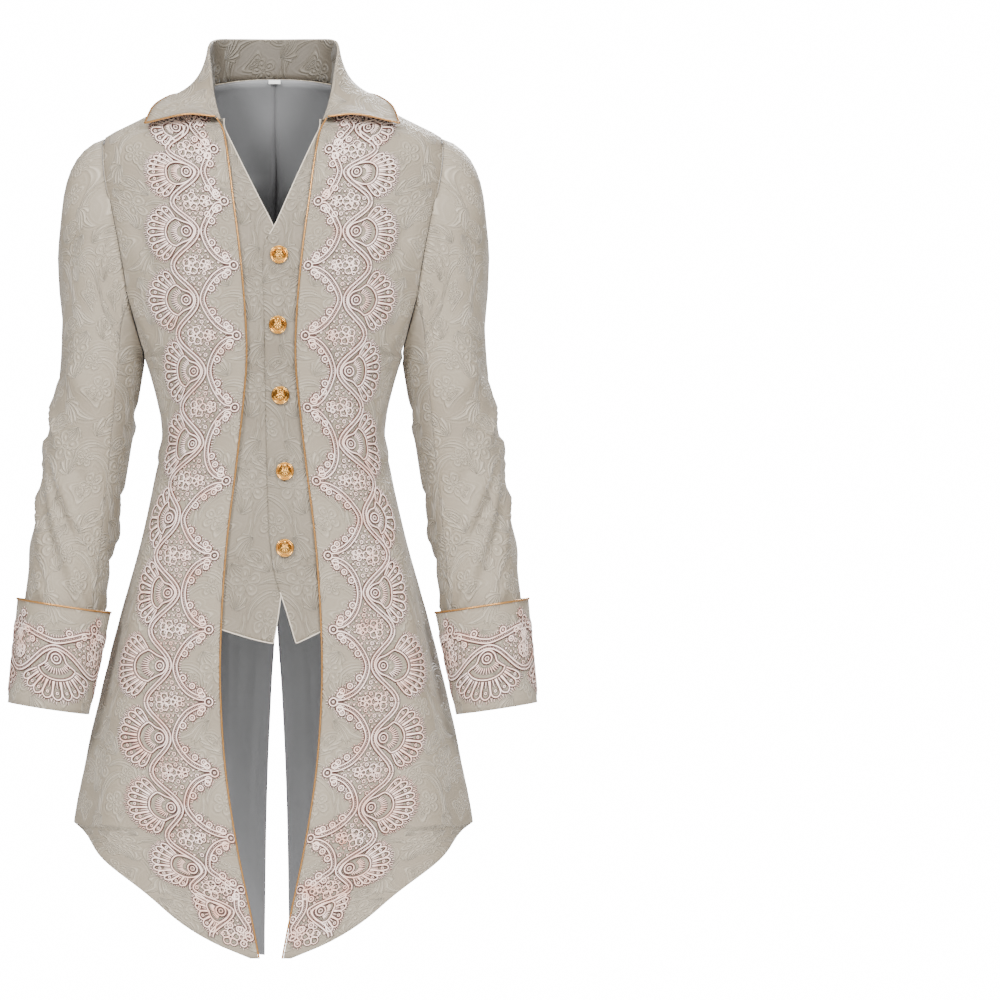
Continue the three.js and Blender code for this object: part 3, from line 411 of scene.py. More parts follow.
def cloth(name, grid, thickness, materials, slot, replaced, inside, shift=(0.0, 0.0), by_height=False):
    """A sheet of cloth over a grid of points, with its thickness on the inner side.

    Its pattern follows the middle column's length down the cloth, or the height of each point.
    """
    rows, count = grid.shape[:2]
    shell = bmesh.new()
    bmesh.ops.create_grid(shell, x_segments=count - 1, y_segments=rows - 1, size=1)
    mesh = bpy.data.meshes.new(name)
    shell.to_mesh(mesh)
    shell.free()
    flat = np.zeros(len(mesh.vertices) * 3)
    mesh.vertices.foreach_get("co", flat)
    flat = flat.reshape(-1, 3)
    c = np.rint((flat[:, 0] + 1) / 2 * (count - 1)).astype(int)
    r = np.rint((1 - flat[:, 1]) / 2 * (rows - 1)).astype(int)
    mesh.vertices.foreach_set("co", (grid[r, c] * MM).ravel())
    across, down = lengths_of(grid)
    middle = count // 2
    u = (across - across[:, middle:middle + 1]) * MM + shift[0]
    v = np.broadcast_to(-down[:, middle:middle + 1] * MM + shift[1], across.shape)
    if by_height:
        v = grid[..., 2] * MM + shift[1]
    loops = np.zeros(len(mesh.loops), int)
    mesh.loops.foreach_get("vertex_index", loops)
    layer = mesh.uv_layers.new(name="cloth")
    layer.uv.foreach_set("vector", np.stack([u[r, c], v[r, c]], axis=1)[loops].ravel())
    mesh.update()
    r, c = rows // 2, middle
    facing = np.cross(grid[r, c + 1] - grid[r, c - 1], grid[r - 1, c] - grid[r + 1, c])
    if np.dot(grid[r, c] - np.array(inside), facing) < 0:
        mesh.flip_normals()
    mesh.update()
    piece = finished(mesh, name, materials, slot, replaced)
    wall = piece.modifiers.new("cloth thickness", "SOLIDIFY")
    wall.thickness = thickness * MM
    wall.offset = -1
    wall.use_even_offset = False
    wall.material_offset = len(materials) - 1
    diagonals = grid[1:, 1:] - grid[:-1, :-1], grid[1:, :-1] - grid[:-1, 1:]
    area = 0.5 * np.linalg.norm(np.cross(*diagonals), axis=-1)
    piece["flat_width"] = float(across[:, -1].max() * MM)
    piece["flat_length"] = float(down[:, middle].max() * MM)
    piece["flat_area"] = float(area.sum() * MM * MM)
    return piece


def mirrored(grid, side):
    """The grid for the wearer's left as it is, or for the right."""
    return grid * np.array([1 if side == "left" else -1, 1, 1])


def cord(name, points, radius, materials, slot, replaced=(), sides=8, step=1.6, twist=0.0):
    """A cord along a line of points, plain or twisted from two plies."""
    line = respaced(points, step)
    curve = bpy.data.curves.new(name, "CURVE")
    curve.dimensions = "3D"
    curve.twist_mode = "MINIMUM"
    curve.bevel_depth = radius * MM
    curve.bevel_resolution = sides // 2 - 2
    curve.use_fill_caps = True
    spline = curve.splines.new("POLY")
    spline.points.add(len(line) - 1)
    spline.points.foreach_set("co", np.concatenate([line * MM, np.ones((len(line), 1))], axis=1).ravel())
    shape = bpy.data.objects.new(name, curve)
    bpy.context.scene.collection.objects.link(shape)
    mesh = bpy.data.meshes.new_from_object(shape)
    bpy.data.objects.remove(shape)
    bpy.data.curves.remove(curve)
    points = np.zeros(len(mesh.vertices) * 3)
    mesh.vertices.foreach_get("co", points)
    points = points.reshape(-1, 3)
    if twist:
        rings = points[2 * sides:].reshape(len(line), sides, 3)
        middle = rings.mean(axis=1, keepdims=True)
        turn = 2 * pi * np.arange(sides) / sides
        phase = 2 * pi * np.arange(len(line)) * step / twist
        swell = 1 - 0.26 * (0.5 - 0.5 * np.cos(2 * (turn[None, :] + phase[:, None])))
        rings[:] = middle + (rings - middle) * swell[..., None]
        points[:sides] = rings[-1]
        points[sides:2 * sides] = rings[0]
        mesh.vertices.foreach_set("co", points.ravel())
    shell = bmesh.new()
    shell.from_mesh(mesh)
    bmesh.ops.remove_doubles(shell, verts=shell.verts, dist=1e-6)
    shell.to_mesh(mesh)
    shell.free()
    return finished(mesh, name, materials, slot, replaced)


def piping(name, points, radius, replaced):
    """Gold cord of two plies along an edge."""
    return cord(name, points, radius, [finish("gold cord")], "gold_cord", [replaced], twist=CORD_TWIST)


# Finishes

class Field:
    """A number at every point of a finish, worked out by math nodes."""

    def __init__(self, tree, socket):
        self.tree, self.socket = tree, socket

    def made(self, operation, *others, clamp=False):
        node = self.tree.nodes.new("ShaderNodeMath")
        node.operation = operation
        node.use_clamp = clamp
        for socket, item in zip(node.inputs, (self, *others)):
            if isinstance(item, Field):
                self.tree.links.new(item.socket, socket)
            else:
                socket.default_value = item
        return Field(self.tree, node.outputs[0])

    def __add__(self, other):
        return self.made("ADD", other)

    def __sub__(self, other):
        return self.made("SUBTRACT", other)

    def __mul__(self, other):
        return self.made("MULTIPLY", other)

    def __truediv__(self, other):
        return self.made("DIVIDE", other)

    def less_from(self, number):
        return (self * -1) + number

    def cosine(self):
        return self.made("COSINE")

    def size(self):
        return self.made("ABSOLUTE")

    def held(self, gain=1.0):
        return self.made("MULTIPLY", gain, clamp=True)

    def over(self, other, mask):
        """This figure where the mask is 1, and the other where it is 0."""
        return self * mask + other * mask.less_from(1)


def new_finish(name, colour, roughness, metallic=0.0, sheen=0.0):
    material = bpy.data.materials.new(name)
    material.use_nodes = True
    shader = material.node_tree.nodes["Principled BSDF"]
    shader.inputs["Base Color"].default_value = (*colour, 1)
    shader.inputs["Roughness"].default_value = roughness
    shader.inputs["Metallic"].default_value = metallic
    shader.inputs["Sheen Weight"].default_value = sheen
    shader.inputs["Sheen Roughness"].default_value = 0.4
    return material, material.node_tree, shader


def mixed_colour(tree, factor, low, high):
    node = tree.nodes.new("ShaderNodeMix")
    node.data_type = "RGBA"
    tree.links.new(factor.socket, node.inputs["Factor"])
    node.inputs[6].default_value = (*low, 1)
    node.inputs[7].default_value = (*high, 1)
    return node.outputs[2]


def noise(tree, place, scale):
    """Noise over the places that a socket gives."""
    node = tree.nodes.new("ShaderNodeTexNoise")
    node.inputs["Scale"].default_value = scale
    tree.links.new(place, node.inputs["Vector"])
    return Field(tree, node.outputs[0])


def bumped(tree, shader, height, distance, strength):
    bump = tree.nodes.new("ShaderNodeBump")
    bump.inputs["Distance"].default_value = distance
    bump.inputs["Strength"].default_value = strength
    tree.links.new(height.socket, bump.inputs["Height"])
    tree.links.new(bump.outputs["Normal"], shader.inputs["Normal"])


REPEAT_WIDTH, REPEAT_HEIGHT = 0.072, 0.120
ECHO_STEP, ECHO_FADE = 0.0044, 0.0075
# Figures of one repeat: kind, middle across and up, turn in degrees and size, in metres
FIGURES = [
    ("stem", 0.040, 0.086, 128, 0.037), ("stem", 0.016, 0.018, -42, 0.034),
    ("stem", 0.064, 0.040, 16, 0.029), ("feather", 0.005, 0.050, 66, 0.034),
    ("feather", 0.046, 0.003, 118, 0.030), ("feather", 0.027, 0.094, -24, 0.030),
    ("feather", 0.053, 0.062, 248, 0.027), ("pod", 0.022, 0.070, 38, 0.016),
    ("pod", 0.067, 0.102, -48, 0.0145), ("flower", 0.034, 0.038, 12, 0.019),
    ("flower", 0.006, 0.110, 40, 0.0145), ("flower", 0.062, 0.024, 80, 0.011),
]


def figure_place(u, v, across, up, turn, size):
    """Local coordinates of a figure that repeats all over the cloth."""
    x = (u - across).made("WRAP", REPEAT_WIDTH / 2, -REPEAT_WIDTH / 2)
    y = (v - up).made("WRAP", REPEAT_HEIGHT / 2, -REPEAT_HEIGHT / 2)
    c, s = cos(radians(turn)) / size, sin(radians(turn)) / size
    return x * c + y * s, y * c - x * s


def flower_figure(x, y):
    """Five round petals of nested outlines about a ringed eye: its lines, and how far out a point is."""
    reach = (x * x + y * y).made("SQRT")
    turn = y.made("ARCTAN2", x).made("WRAP", pi / 5, -pi / 5)
    out = (reach * turn.cosine() - 0.56) / 0.44
    aside = reach * turn.made("SINE") / (out * 0.10 + 0.30)
    petal = (out * out + aside * aside).made("SQRT")
    lines = (petal * 7.0 - 0.8).cosine().over((reach * 32.0).cosine(), (reach - 0.17).held(20.0))
    return lines, ((petal - 1) * 0.36).made("MINIMUM", reach - 0.17)


def feather_figure(x, y):
    """A feathery leaf: curved lobes that fan out from its foot."""
    bent = y + x * x * 0.5
    turn = bent.made("ARCTAN2", x)
    reach = (x * x + bent * bent).made("SQRT")
    tip = (turn * 22.0).cosine() * 0.06 + (turn * 1.2).cosine() * 0.92
    sides = (turn.size() - 0.95) * reach
    return (turn * 22.0 + reach * 2.0).cosine(), (reach - tip).made("MAXIMUM", sides)


def pod_figure(x, y):
    """A seed pod of nested outlines with two seeds."""
    bent = (y + x * x * 0.35) / 0.5
    ring = (x * x + bent * bent).made("SQRT")
    beside = x.size() - 0.36
    seed = (beside * beside * 5.0 + bent * bent * 1.8).made("SQRT") * 2.0
    lines = (ring * 13.0).cosine().over((seed * 9.0).cosine(), (seed - 1).held(8.0))
    return lines, (ring - 1) * 0.6


def stem_figure(x, y):
    """A long sweeping stem of parallel lines that taper to its ends."""
    low = y + 1
    bow = (x * x + low * low).made("SQRT") - 1
    turn = x.made("ARCTAN2", low)
    width = turn * turn * -0.16 + 0.13
    return (bow * 48.0).cosine(), bow.size() - width


FIGURE_KINDS = {"flower": flower_figure, "feather": feather_figure, "pod": pod_figure, "stem": stem_figure}


# The echo's faintest part, and how sharply the figures stand out of the ground
ECHO_FLOOR, FIGURE_POWER = 0.16, 1.6
WEAVE_SCALE, WEAR_SCALE = 900, 9
# What the figures' lines, the cloth between them, the weave and the wear add to the tone
LINE_TONE, FIGURE_TONE, GRAIN_TONE, CLOUD_TONE, TONE_DROP = 0.72, 0.14, 0.35, 0.7, 0.04
RELIEF_DISTANCE, GRAIN_RELIEF = 0.0018, 0.15


def brocade_finish(name, ground, figure, relief):
    """Tone-on-tone brocade: raised figures, with lines in the ground that echo their outlines."""
    material, tree, shader = new_finish(name, ground, 0.6, sheen=0.15)
    place = tree.nodes.new("ShaderNodeUVMap")
    place.uv_map = "cloth"
    split = tree.nodes.new("ShaderNodeSeparateXYZ")
    tree.links.new(place.outputs["UV"], split.inputs[0])
    u, v = Field(tree, split.outputs["X"]), Field(tree, split.outputs["Y"])
    lines, nearest, covered = u * 0, u * 0 + 0.05, u * 0
    for kind, across, up, turn, size in FIGURES:
        figure_lines, edge = FIGURE_KINDS[kind](*figure_place(u, v, across, up, turn, size))
        edge = edge * size
        mask = (edge * -1).held(1600.0)
        lines = figure_lines.over(lines, mask)
        covered = covered.made("MAXIMUM", mask)
        nearest = nearest.made("MINIMUM", edge)
    fading = (nearest * (-1 / ECHO_FADE) + 0.9).made("MAXIMUM", ECHO_FLOOR)
    echo = (nearest * (2 * pi / ECHO_STEP)).cosine() * fading + fading - 1
    height = (lines.over(echo, covered) * 0.5 + 0.5).made("MAXIMUM", 0.0).made("POWER", FIGURE_POWER)
    grain = noise(tree, place.outputs["UV"], WEAVE_SCALE)
    cloud = noise(tree, place.outputs["UV"], WEAR_SCALE) - 0.5
    tone = height * LINE_TONE + covered * FIGURE_TONE + grain * GRAIN_TONE + cloud * CLOUD_TONE
    tone = (tone - TONE_DROP).held()
    tree.links.new(mixed_colour(tree, tone, ground, figure), shader.inputs["Base Color"])
    tree.links.new((height * -0.14 + 0.62).socket, shader.inputs["Roughness"])
    bumped(tree, shader, height + grain * GRAIN_RELIEF, RELIEF_DISTANCE, relief)
    return material


def painted_shade_brocade(name, looks, shade):
    """The brocade darkened all over by a factor, as painted shade."""
    ground, figure = ([part * shade for part in colour] for colour in (looks.ground, looks.figure))
    return brocade_finish(name, ground, figure, looks.relief)


def satin_finish(name, colour):
    material, _, shader = new_finish(name, colour, 0.36, sheen=0.1)
    shader.inputs["Anisotropic"].default_value = 0.3
    return material


# How far up a thread its brown side reaches, how sharply it ends, and how much speckles shift it; the brown
# side is partly the lace's own colour and partly painted shadow along the thread
THREAD_RIM, RIM_SHARPNESS, SPECKLE_SHARE = 0.61, 9.0, 1.2
SPECKLE_SCALE, PATCH_SCALE = 160, 38


def thread_finish(name, ridge, edge, rose):
    """Lace thread: pale along its top, brown at its sides, and rosier towards the hem. The brown sides are
    partly the lace's own colour and partly painted shadow.
    """
    material, tree, shader = new_finish(name, ridge, 0.5, sheen=0.2)
    side = tree.nodes.new("ShaderNodeAttribute")
    side.attribute_name = "ridge"
    place = tree.nodes.new("ShaderNodeTexCoord")
    split = tree.nodes.new("ShaderNodeSeparateXYZ")
    tree.links.new(place.outputs["Object"], split.inputs[0])
    lowness = ((Field(tree, split.outputs["Z"]) + 0.3) * -1.3).held()
    speckle = noise(tree, place.outputs["Object"], SPECKLE_SCALE) - 0.5
    patch = noise(tree, place.outputs["Object"], PATCH_SCALE) - 0.5
    # Where the thread turns brown at its sides: partly its own colour, partly painted shadow beside it
    top = (Field(tree, side.outputs["Fac"]) - THREAD_RIM) * RIM_SHARPNESS - speckle * SPECKLE_SHARE
    blush = (patch * 2.0 + lowness * 0.35 + 0.05).held()
    crown = mixed_colour(tree, blush, ridge, rose)
    mix = tree.nodes.new("ShaderNodeMix")
    mix.data_type = "RGBA"
    tree.links.new(top.held().socket, mix.inputs["Factor"])
    tree.links.new(crown, mix.inputs[7])
    mix.inputs[6].default_value = (*edge, 1)
    tree.links.new(mix.outputs[2], shader.inputs["Base Color"])
    return material


FINISHES = {}
# How far the brocade is darkened as painted shade: inside the collar stand, and on the waistcoat and under
# sleeves
STAND_PAINTED_SHADE, PAINTED_SHADE_FACTOR = 0.36, 0.76
CREAM, TAPE_WHITE, FLOOR_WHITE = (0.66, 0.58, 0.47), (0.86, 0.85, 0.83), (0.9, 0.9, 0.9)


def finish(name):
    """One of the coat's finishes, made the first time that it is asked for."""
    if name not in FINISHES:
        looks = bpy.context.scene.tailcoat_looks
        makers = {
            "brocade": lambda: brocade_finish("Brocade", looks.ground, looks.figure, looks.relief),
            "facing": lambda: painted_shade_brocade("Collar stand in painted shade", looks, STAND_PAINTED_SHADE),
            "painted shade brocade": lambda: painted_shade_brocade("Brocade in painted shade", looks, PAINTED_SHADE_FACTOR),
            "satin": lambda: satin_finish("Grey satin", looks.lining),
            "thread": lambda: thread_finish("Lace thread", looks.thread, looks.outline, looks.rose),
            "gold cord": lambda: new_finish("Gold cord", looks.cord, 0.32, metallic=0.7)[0],
            "gold": lambda: new_finish("Gilt metal", looks.gilt, 0.2, metallic=1.0)[0],
            "cream cord": lambda: new_finish("Cream cord", CREAM, 0.5, sheen=0.2)[0],
            "tape": lambda: new_finish("White tape", TAPE_WHITE, 0.7)[0],
            "floor": lambda: new_finish("Pale floor", FLOOR_WHITE, 0.7)[0],
        }
        FINISHES[name] = makers[name]()
    return FINISHES[name]


# Body

# Creases: shares across and down, turn, length, width, height, bend
FRONT_CREASES = [
    (0.75, 0.20, 72, 150, 14, -2.2, 0.2), (0.88, 0.29, 60, 110, 9, 2.0, 0.1),
    (0.80, 0.33, 48, 120, 8, -1.8, 0.2), (0.62, 0.40, 20, 110, 9, 1.6, 0.1),
    (0.86, 0.42, 12, 90, 7, -1.8, 0.0), (0.90, 0.46, -14, 100, 7, 1.7, 0.1),
    (0.70, 0.47, -8, 120, 9, -1.5, 0.2), (0.55, 0.60, 84, 330, 22, 2.8, 0.1),
    (0.80, 0.64, 82, 380, 18, -3.4, 0.1), (0.92, 0.70, 80, 300, 14, 2.6, 0.0),
    (0.36, 0.72, 88, 320, 20, -2.4, 0.1), (0.15, 0.30, 80, 260, 16, 1.6, 0.1),
    (0.20, 0.80, 86, 280, 16, 2.0, 0.1), (0.45, 0.14, 35, 120, 12, 1.4, 0.1),
]
SIDE_BACK_CREASES = [
    (0.5, 0.30, 8, 70, 7, -1.6, 0.1), (0.4, 0.34, -12, 80, 7, 1.6, 0.1),
    (0.6, 0.39, 6, 75, 8, -1.7, 0.1), (0.5, 0.68, 88, 330, 14, 2.6, 0.1),
    (0.8, 0.74, 86, 260, 12, -2.2, 0.0),
]
BACK_CREASES = [
    (0.75, 0.12, -50, 130, 12, 1.8, 0.1), (0.85, 0.20, -62, 120, 10, -1.9, 0.1),
    (0.55, 0.27, -70, 160, 16, 1.5, 0.1), (0.62, 0.37, 10, 110, 9, -1.7, 0.1),
    (0.40, 0.40, -6, 140, 9, 1.6, 0.1), (0.70, 0.43, -14, 100, 8, -1.8, 0.1),
    (0.45, 0.46, 9, 110, 9, 1.3, 0.0), (0.30, 0.70, 88, 420, 22, 3.0, 0.0),
    (0.62, 0.66, 86, 460, 20, -3.2, 0.0), (0.85, 0.74, 84, 360, 17, 3.0, 0.1),
    (0.12, 0.80, 89, 330, 16, -2.2, 0.0), (0.30, 0.08, 5, 120, 9, -1.0, 0.2),
]
PANELS = {
    "front": {"top": NECK_TOP, "bottom": FRONT_TIP, "inner": front_inner, "outer": front_outer,
              "columns": 34, "creases": FRONT_CREASES, "edges": ("right",), "shift": (0.013, 0.02),
              "corners": (SHOULDER_POINT, ARMPIT, BACK_HEM_CORNER, FRONT_HEM_CORNER)},
    "side_back": {"top": SIDE_BACK_TOP, "bottom": SIDE_BACK_TIP, "inner": side_back_inner,
                  "outer": side_back_outer, "columns": 14, "creases": SIDE_BACK_CREASES,
                  "edges": ("left", "right"), "shift": (0.05, 0.07), "corners": (ARMPIT, BACK_HEM_CORNER)},
    "back": {"top": NECK_TOP, "bottom": BACK_TIP, "inner": back_inner, "outer": back_outer, "columns": 30,
             "creases": BACK_CREASES, "edges": ("right",), "shift": (0.03, 0.11),
             "corners": (SHOULDER_POINT, SIDE_BACK_TOP, VENT_TOP, SIDE_BACK_TIP)},
}
ROW_STEP = 7.0
SEAM_DEPTH, SEAM_WIDTH = 0.6, 2.2


def shared_rows():
    """Row heights that all the body panels share, so that their seams meet, with one at each corner."""
    corners = sorted({z for panel in PANELS.values()
                      for z in (panel["top"], panel["bottom"], *panel["corners"])}, reverse=True)
    spans = [heights(high, low, ROW_STEP)[:-1] for high, low in zip(corners, corners[1:])]
    return np.concatenate([*spans, corners[-1:]])


BODY_ROWS = shared_rows()
SHOULDER_EASE = 130
BODY_MIDDLE = (0, 0, -500)
SURFACES = {}


def panel_grid(kind, depth):
    """A body panel of the wearer's left with its creases, and the heights of its rows."""
    panel = PANELS[kind]
    rows = BODY_ROWS[(BODY_ROWS <= panel["top"]) & (BODY_ROWS >= panel["bottom"])]
    shares = edged_shares(panel["columns"])
    inner, outer = panel["inner"](rows)[:, None], panel["outer"](rows)[:, None]
    eased = outer
    if panel["top"] > SHOULDER_POINT:
        down = np.clip((SHOULDER_POINT - rows[:, None]) / SHOULDER_EASE, 0, 1)
        eased = pi / 2 + (outer - pi / 2) * down * down * (3 - 2 * down)
    angle = inner + (eased - inner) * shares[None, :] + (outer - eased) * shares[None, :] ** 7
    grid = body_point(angle, rows[:, None])
    grid = creased(grid, panel["creases"], depth, BODY_MIDDLE)
    return turned_in(grid, panel["edges"], SEAM_DEPTH, SEAM_WIDTH, BODY_MIDDLE), rows


class TailcoatLooks(bpy.types.PropertyGroup):
    """Sizes and colours of the coat that a user may change."""

    cloth_thickness: FloatProperty(
        name="Cloth thickness", description="Thickness of the brocade and its interlining",
        default=1.5, min=0.8, max=3.0)
    crease_depth: FloatProperty(
        name="Crease depth", description="How deep the creases are, as a share of their natural depth",
        default=1.5, min=0.0, max=3.0, subtype="FACTOR")
    relief: FloatProperty(
        name="Figure relief", description="How strongly the woven figures stand out", default=0.8, min=0.0,
        max=1.0, subtype="FACTOR")
    thread_step: FloatProperty(
        name="Thread step", description="Length of the straight pieces that lace threads are made of, in mm",
        default=2.4, min=1.5, max=6.0)
    button_petals: IntProperty(
        name="Button petals", description="Petals of the rosette on each button", default=8, min=4, max=16)
    ground: FloatVectorProperty(
        name="Ground", description="Colour of the brocade's ground", subtype="COLOR",
        default=(0.232, 0.190, 0.136), min=0.0, max=1.0)
    figure: FloatVectorProperty(
        name="Figure", description="Colour of the woven figures", subtype="COLOR",
        default=(0.415, 0.358, 0.275), min=0.0, max=1.0)
    lining: FloatVectorProperty(
        name="Lining", description="Colour of the satin lining", subtype="COLOR",
        default=(0.205, 0.205, 0.21), min=0.0, max=1.0)
    thread: FloatVectorProperty(
        name="Thread", description="Colour along the top of a lace thread", subtype="COLOR",
        default=(1.0, 0.81, 0.72), min=0.0, max=1.0)
    # The brown at the thread's sides: partly the lace's own colour, partly painted shadow
    outline: FloatVectorProperty(
        name="Thread side", description="Colour at the sides of a lace thread", subtype="COLOR",
        default=(0.10, 0.032, 0.02), min=0.0, max=1.0)
    rose: FloatVectorProperty(
        name="Rose", description="Rosy colour in patches of the thread, more of it near the hem",
        subtype="COLOR", default=(0.80, 0.42, 0.29), min=0.0, max=1.0)
    cord: FloatVectorProperty(
        name="Cord", description="Colour of the gold piping cord", subtype="COLOR",
        default=(0.46, 0.225, 0.07), min=0.0, max=1.0)
    gilt: FloatVectorProperty(
        name="Gilt", description="Colour of the metal buttons", subtype="COLOR",
        default=(0.60, 0.32, 0.08), min=0.0, max=1.0)


class TAILCOAT_OT_body(bpy.types.Operator):
    """Fronts, side backs and backs of brocade, lined with satin"""

    bl_idname = "tailcoat.body"
    bl_label = "Body Panels"

    def execute(self, context):
        looks = context.scene.tailcoat_looks
        for kind in PANELS:
            grid, rows = panel_grid(kind, looks.crease_depth)
            SURFACES[kind] = Surface(grid, rows, BODY_MIDDLE)
            for side in SIDES:
                piece = cloth(f"{kind}_cloth_{side}", mirrored(grid, side), looks.cloth_thickness,
                              [finish("brocade"), finish("satin")], "brocade", [f"{kind}_{side}"],
                              BODY_MIDDLE, PANELS[kind]["shift"])
        return {"FINISHED"}


LINING_INSET, LINING_THICKNESS = 2.2, 0.6
LINING_CREASES = {
    "left": [
        (0.05, 0.07, 82, 170, 5, -5.0, 0.1), (0.13, 0.10, 72, 190, 6, -7.0, 0.1),
        (0.22, 0.09, 60, 170, 7, -6.4, 0.1), (0.32, 0.13, 52, 150, 10, -3.0, 0.1),
        (0.08, 0.30, 88, 500, 9, -2.6, 0.0), (0.35, 0.68, 89, 640, 14, -4.0, 0.0),
        (0.60, 0.70, 87, 600, 12, -3.4, 0.0), (0.20, 0.72, 90, 560, 11, -3.6, 0.0),
        (0.82, 0.74, 86, 420, 12, -3.2, 0.0),
    ],
    "right": [
        (0.04, 0.10, 96, 180, 6, -6.6, 0.1), (0.11, 0.08, 102, 170, 5, -4.4, 0.1),
        (0.19, 0.12, 80, 200, 6, -7.0, 0.1), (0.29, 0.10, 66, 160, 9, -3.6, 0.1),
        (0.14, 0.32, 86, 480, 10, -3.0, 0.0), (0.28, 0.70, 88, 620, 13, -3.8, 0.0),
        (0.52, 0.68, 89, 600, 12, -3.6, 0.0), (0.14, 0.74, 90, 540, 10, -3.0, 0.0),
        (0.76, 0.72, 87, 440, 13, -3.4, 0.0),
    ],
}


class TAILCOAT_OT_lining(bpy.types.Operator):
    """Grey satin lining of the backs, in soft upright folds"""

    bl_idname = "tailcoat.lining"
    bl_label = "Back Lining"

    def execute(self, context):
        looks = context.scene.tailcoat_looks
        backs = SURFACES["back"]
        base = backs.grid - backs.normal * (looks.cloth_thickness + LINING_INSET)
        for side, creases in LINING_CREASES.items():
            grid = creased(base, creases, 1.0, BODY_MIDDLE)
            grid[backs.rows >= VENT_TOP, 0, 0] = 0
            piece = cloth(f"back_lining_{side}", mirrored(grid, side), LINING_THICKNESS, [finish("satin")],
                          "satin", [f"lining_back_{side}"], BODY_MIDDLE)
        return {"FINISHED"}


VEST_CREASES = [
    (0.45, 0.30, 78, 180, 9, 1.0, 0.1), (0.60, 0.48, 15, 60, 7, -1.0, 0.1),
    (0.40, 0.52, -12, 60, 7, 0.9, 0.1), (0.55, 0.72, 84, 180, 9, -1.1, 0.1),
]


class TAILCOAT_OT_waistcoat(bpy.types.Operator):
    """Mock waistcoat, the left side over the right, with a cream edging"""

    bl_idname = "tailcoat.waistcoat"
    bl_label = "Mock Waistcoat"

    def execute(self, context):
        looks = context.scene.tailcoat_looks
        rows = heights(VEST_TOP, VEST_HEM, ROW_STEP)
        shares = edged_shares(14)
        for side, edge in VEST_EDGES.items():
            inner = front_angle(read(edge, "x", rows), rows)[:, None]
            outer = front_angle(read(FRONT_EDGE, "x", rows) + VEST_UNDERLAP, rows)[:, None]
            grid = body_point(inner + (outer - inner) * shares[None, :], rows[:, None])
            normal = normals_of(grid, BODY_MIDDLE)
            lap = np.clip((shares[None, :] - VEST_LAP_STARTS) / VEST_LAP_WIDTH, 0, 1)
            lap = (1 - lap * lap * (3 - 2 * lap)) * (rows[:, None] < VEST_LAP_TOP)
            sink = VEST_SINK + (VEST_LAP_SINK if side == "right" else 0) * lap
            grid = grid - normal * sink[..., None]
            if side == "left":
                grid = turned_in(grid, ("left",), VEST_EDGE_DEPTH, VEST_EDGE_WIDTH, BODY_MIDDLE)
            risen = np.clip((rows[:, None] - VEST_RISE_STARTS) / (VEST_RISE_FULL - VEST_RISE_STARTS), 0, 1)
            grid[..., 2] += VEST_HEM_RISE * shares[None, :] * risen
            grid = creased(grid, VEST_CREASES, looks.crease_depth * VEST_CREASE_SHARE, BODY_MIDDLE)
            hand = mirrored(grid, side)
            # The waistcoat's brocade is darkened as painted shade, for the shade it lies in between the
            # fronts
            faces = [finish("painted shade brocade"), finish("satin")]
            piece = cloth(f"waistcoat_{side}", hand, VEST_THICKNESS, faces, "brocade", [f"vest_{side}"],
                          BODY_MIDDLE, VEST_SHIFT)
            edgings = {
                "neck": hand[rows > VEST_EDGING_ENDS, 0],
                "hem": np.concatenate([hand[rows < VEST_EDGING_STARTS, 0], hand[-1, 1:]]),
            }
            trims = [cord(f"vest_{part}_edging_{side}", line, EDGING_RADIUS, [finish("cream cord")],
                          "brocade", sides=6, step=3.0) for part, line in edgings.items()]
        return {"FINISHED"}


# Sleeves and cuffs

def armhole_ring():
    """Points round the armhole along the body's own edge, from the shoulder down in front and up behind."""
    rows = BODY_ROWS[(BODY_ROWS <= SHOULDER_POINT) & (BODY_ROWS >= ARMPIT)]
    marks = np.array([SHOULDER_POINT, *ARMHOLE_HEIGHTS, ARMPIT], float)
    columns_passed = np.arange(ARMHOLE_STEPS * (len(marks) - 1) + 1) / ARMHOLE_STEPS
    halves = []
    for angle in (front_outer(rows), np.where(rows < SHOULDER_POINT, side_back_outer(rows), pi / 2)):
        edge = body_point(angle, rows)
        lengths = np.concatenate([[0], np.cumsum(np.linalg.norm(np.diff(edge, axis=0), axis=1))])
        at_marks = np.interp(-marks, -rows, lengths)
        places = np.interp(columns_passed, np.arange(len(marks)), at_marks)
        halves.append(np.stack([np.interp(places, lengths, edge[:, k]) for k in range(3)], axis=1))
    return np.concatenate([halves[0][:-1], halves[1][:0:-1]])


def sleeve_angle(column, z):
    share = (SLEEVE["z"][0] - z) / (SLEEVE["z"][0] - SLEEVE["z"][-1])
    forearm = FOREARM_AT_BICEPS + (FOREARM_AT_WRIST - FOREARM_AT_BICEPS) * share
    over = (column - HINDARM_COLUMN) / (FOREARM_COLUMN - HINDARM_COLUMN)
    under = (column - FOREARM_COLUMN) / (ARMHOLE_COUNT + HINDARM_COLUMN - FOREARM_COLUMN)
    return np.radians(np.where(
        column <= FOREARM_COLUMN,
        HINDARM_ANGLE + (forearm - HINDARM_ANGLE) * over,
        forearm + (HINDARM_ANGLE + 360 - forearm) * under))


def section_point(angle, z, half_width, half_depth):
    """A point on a section across the sleeve's axis; angle 0 is outwards and 90 degrees in front."""
    across = half_width * np.cos(angle)
    return np.stack(np.broadcast_arrays(
        read(SLEEVE, "x", z) + across * cos(SLEEVE_TILT),
        read(SLEEVE, "y", z) - half_depth * np.sin(angle),
        z + across * sin(SLEEVE_TILT)), axis=-1)


def arm_point(angle, z):
    return section_point(angle, z, read(SLEEVE, "half_width", z), read(SLEEVE, "half_depth", z))


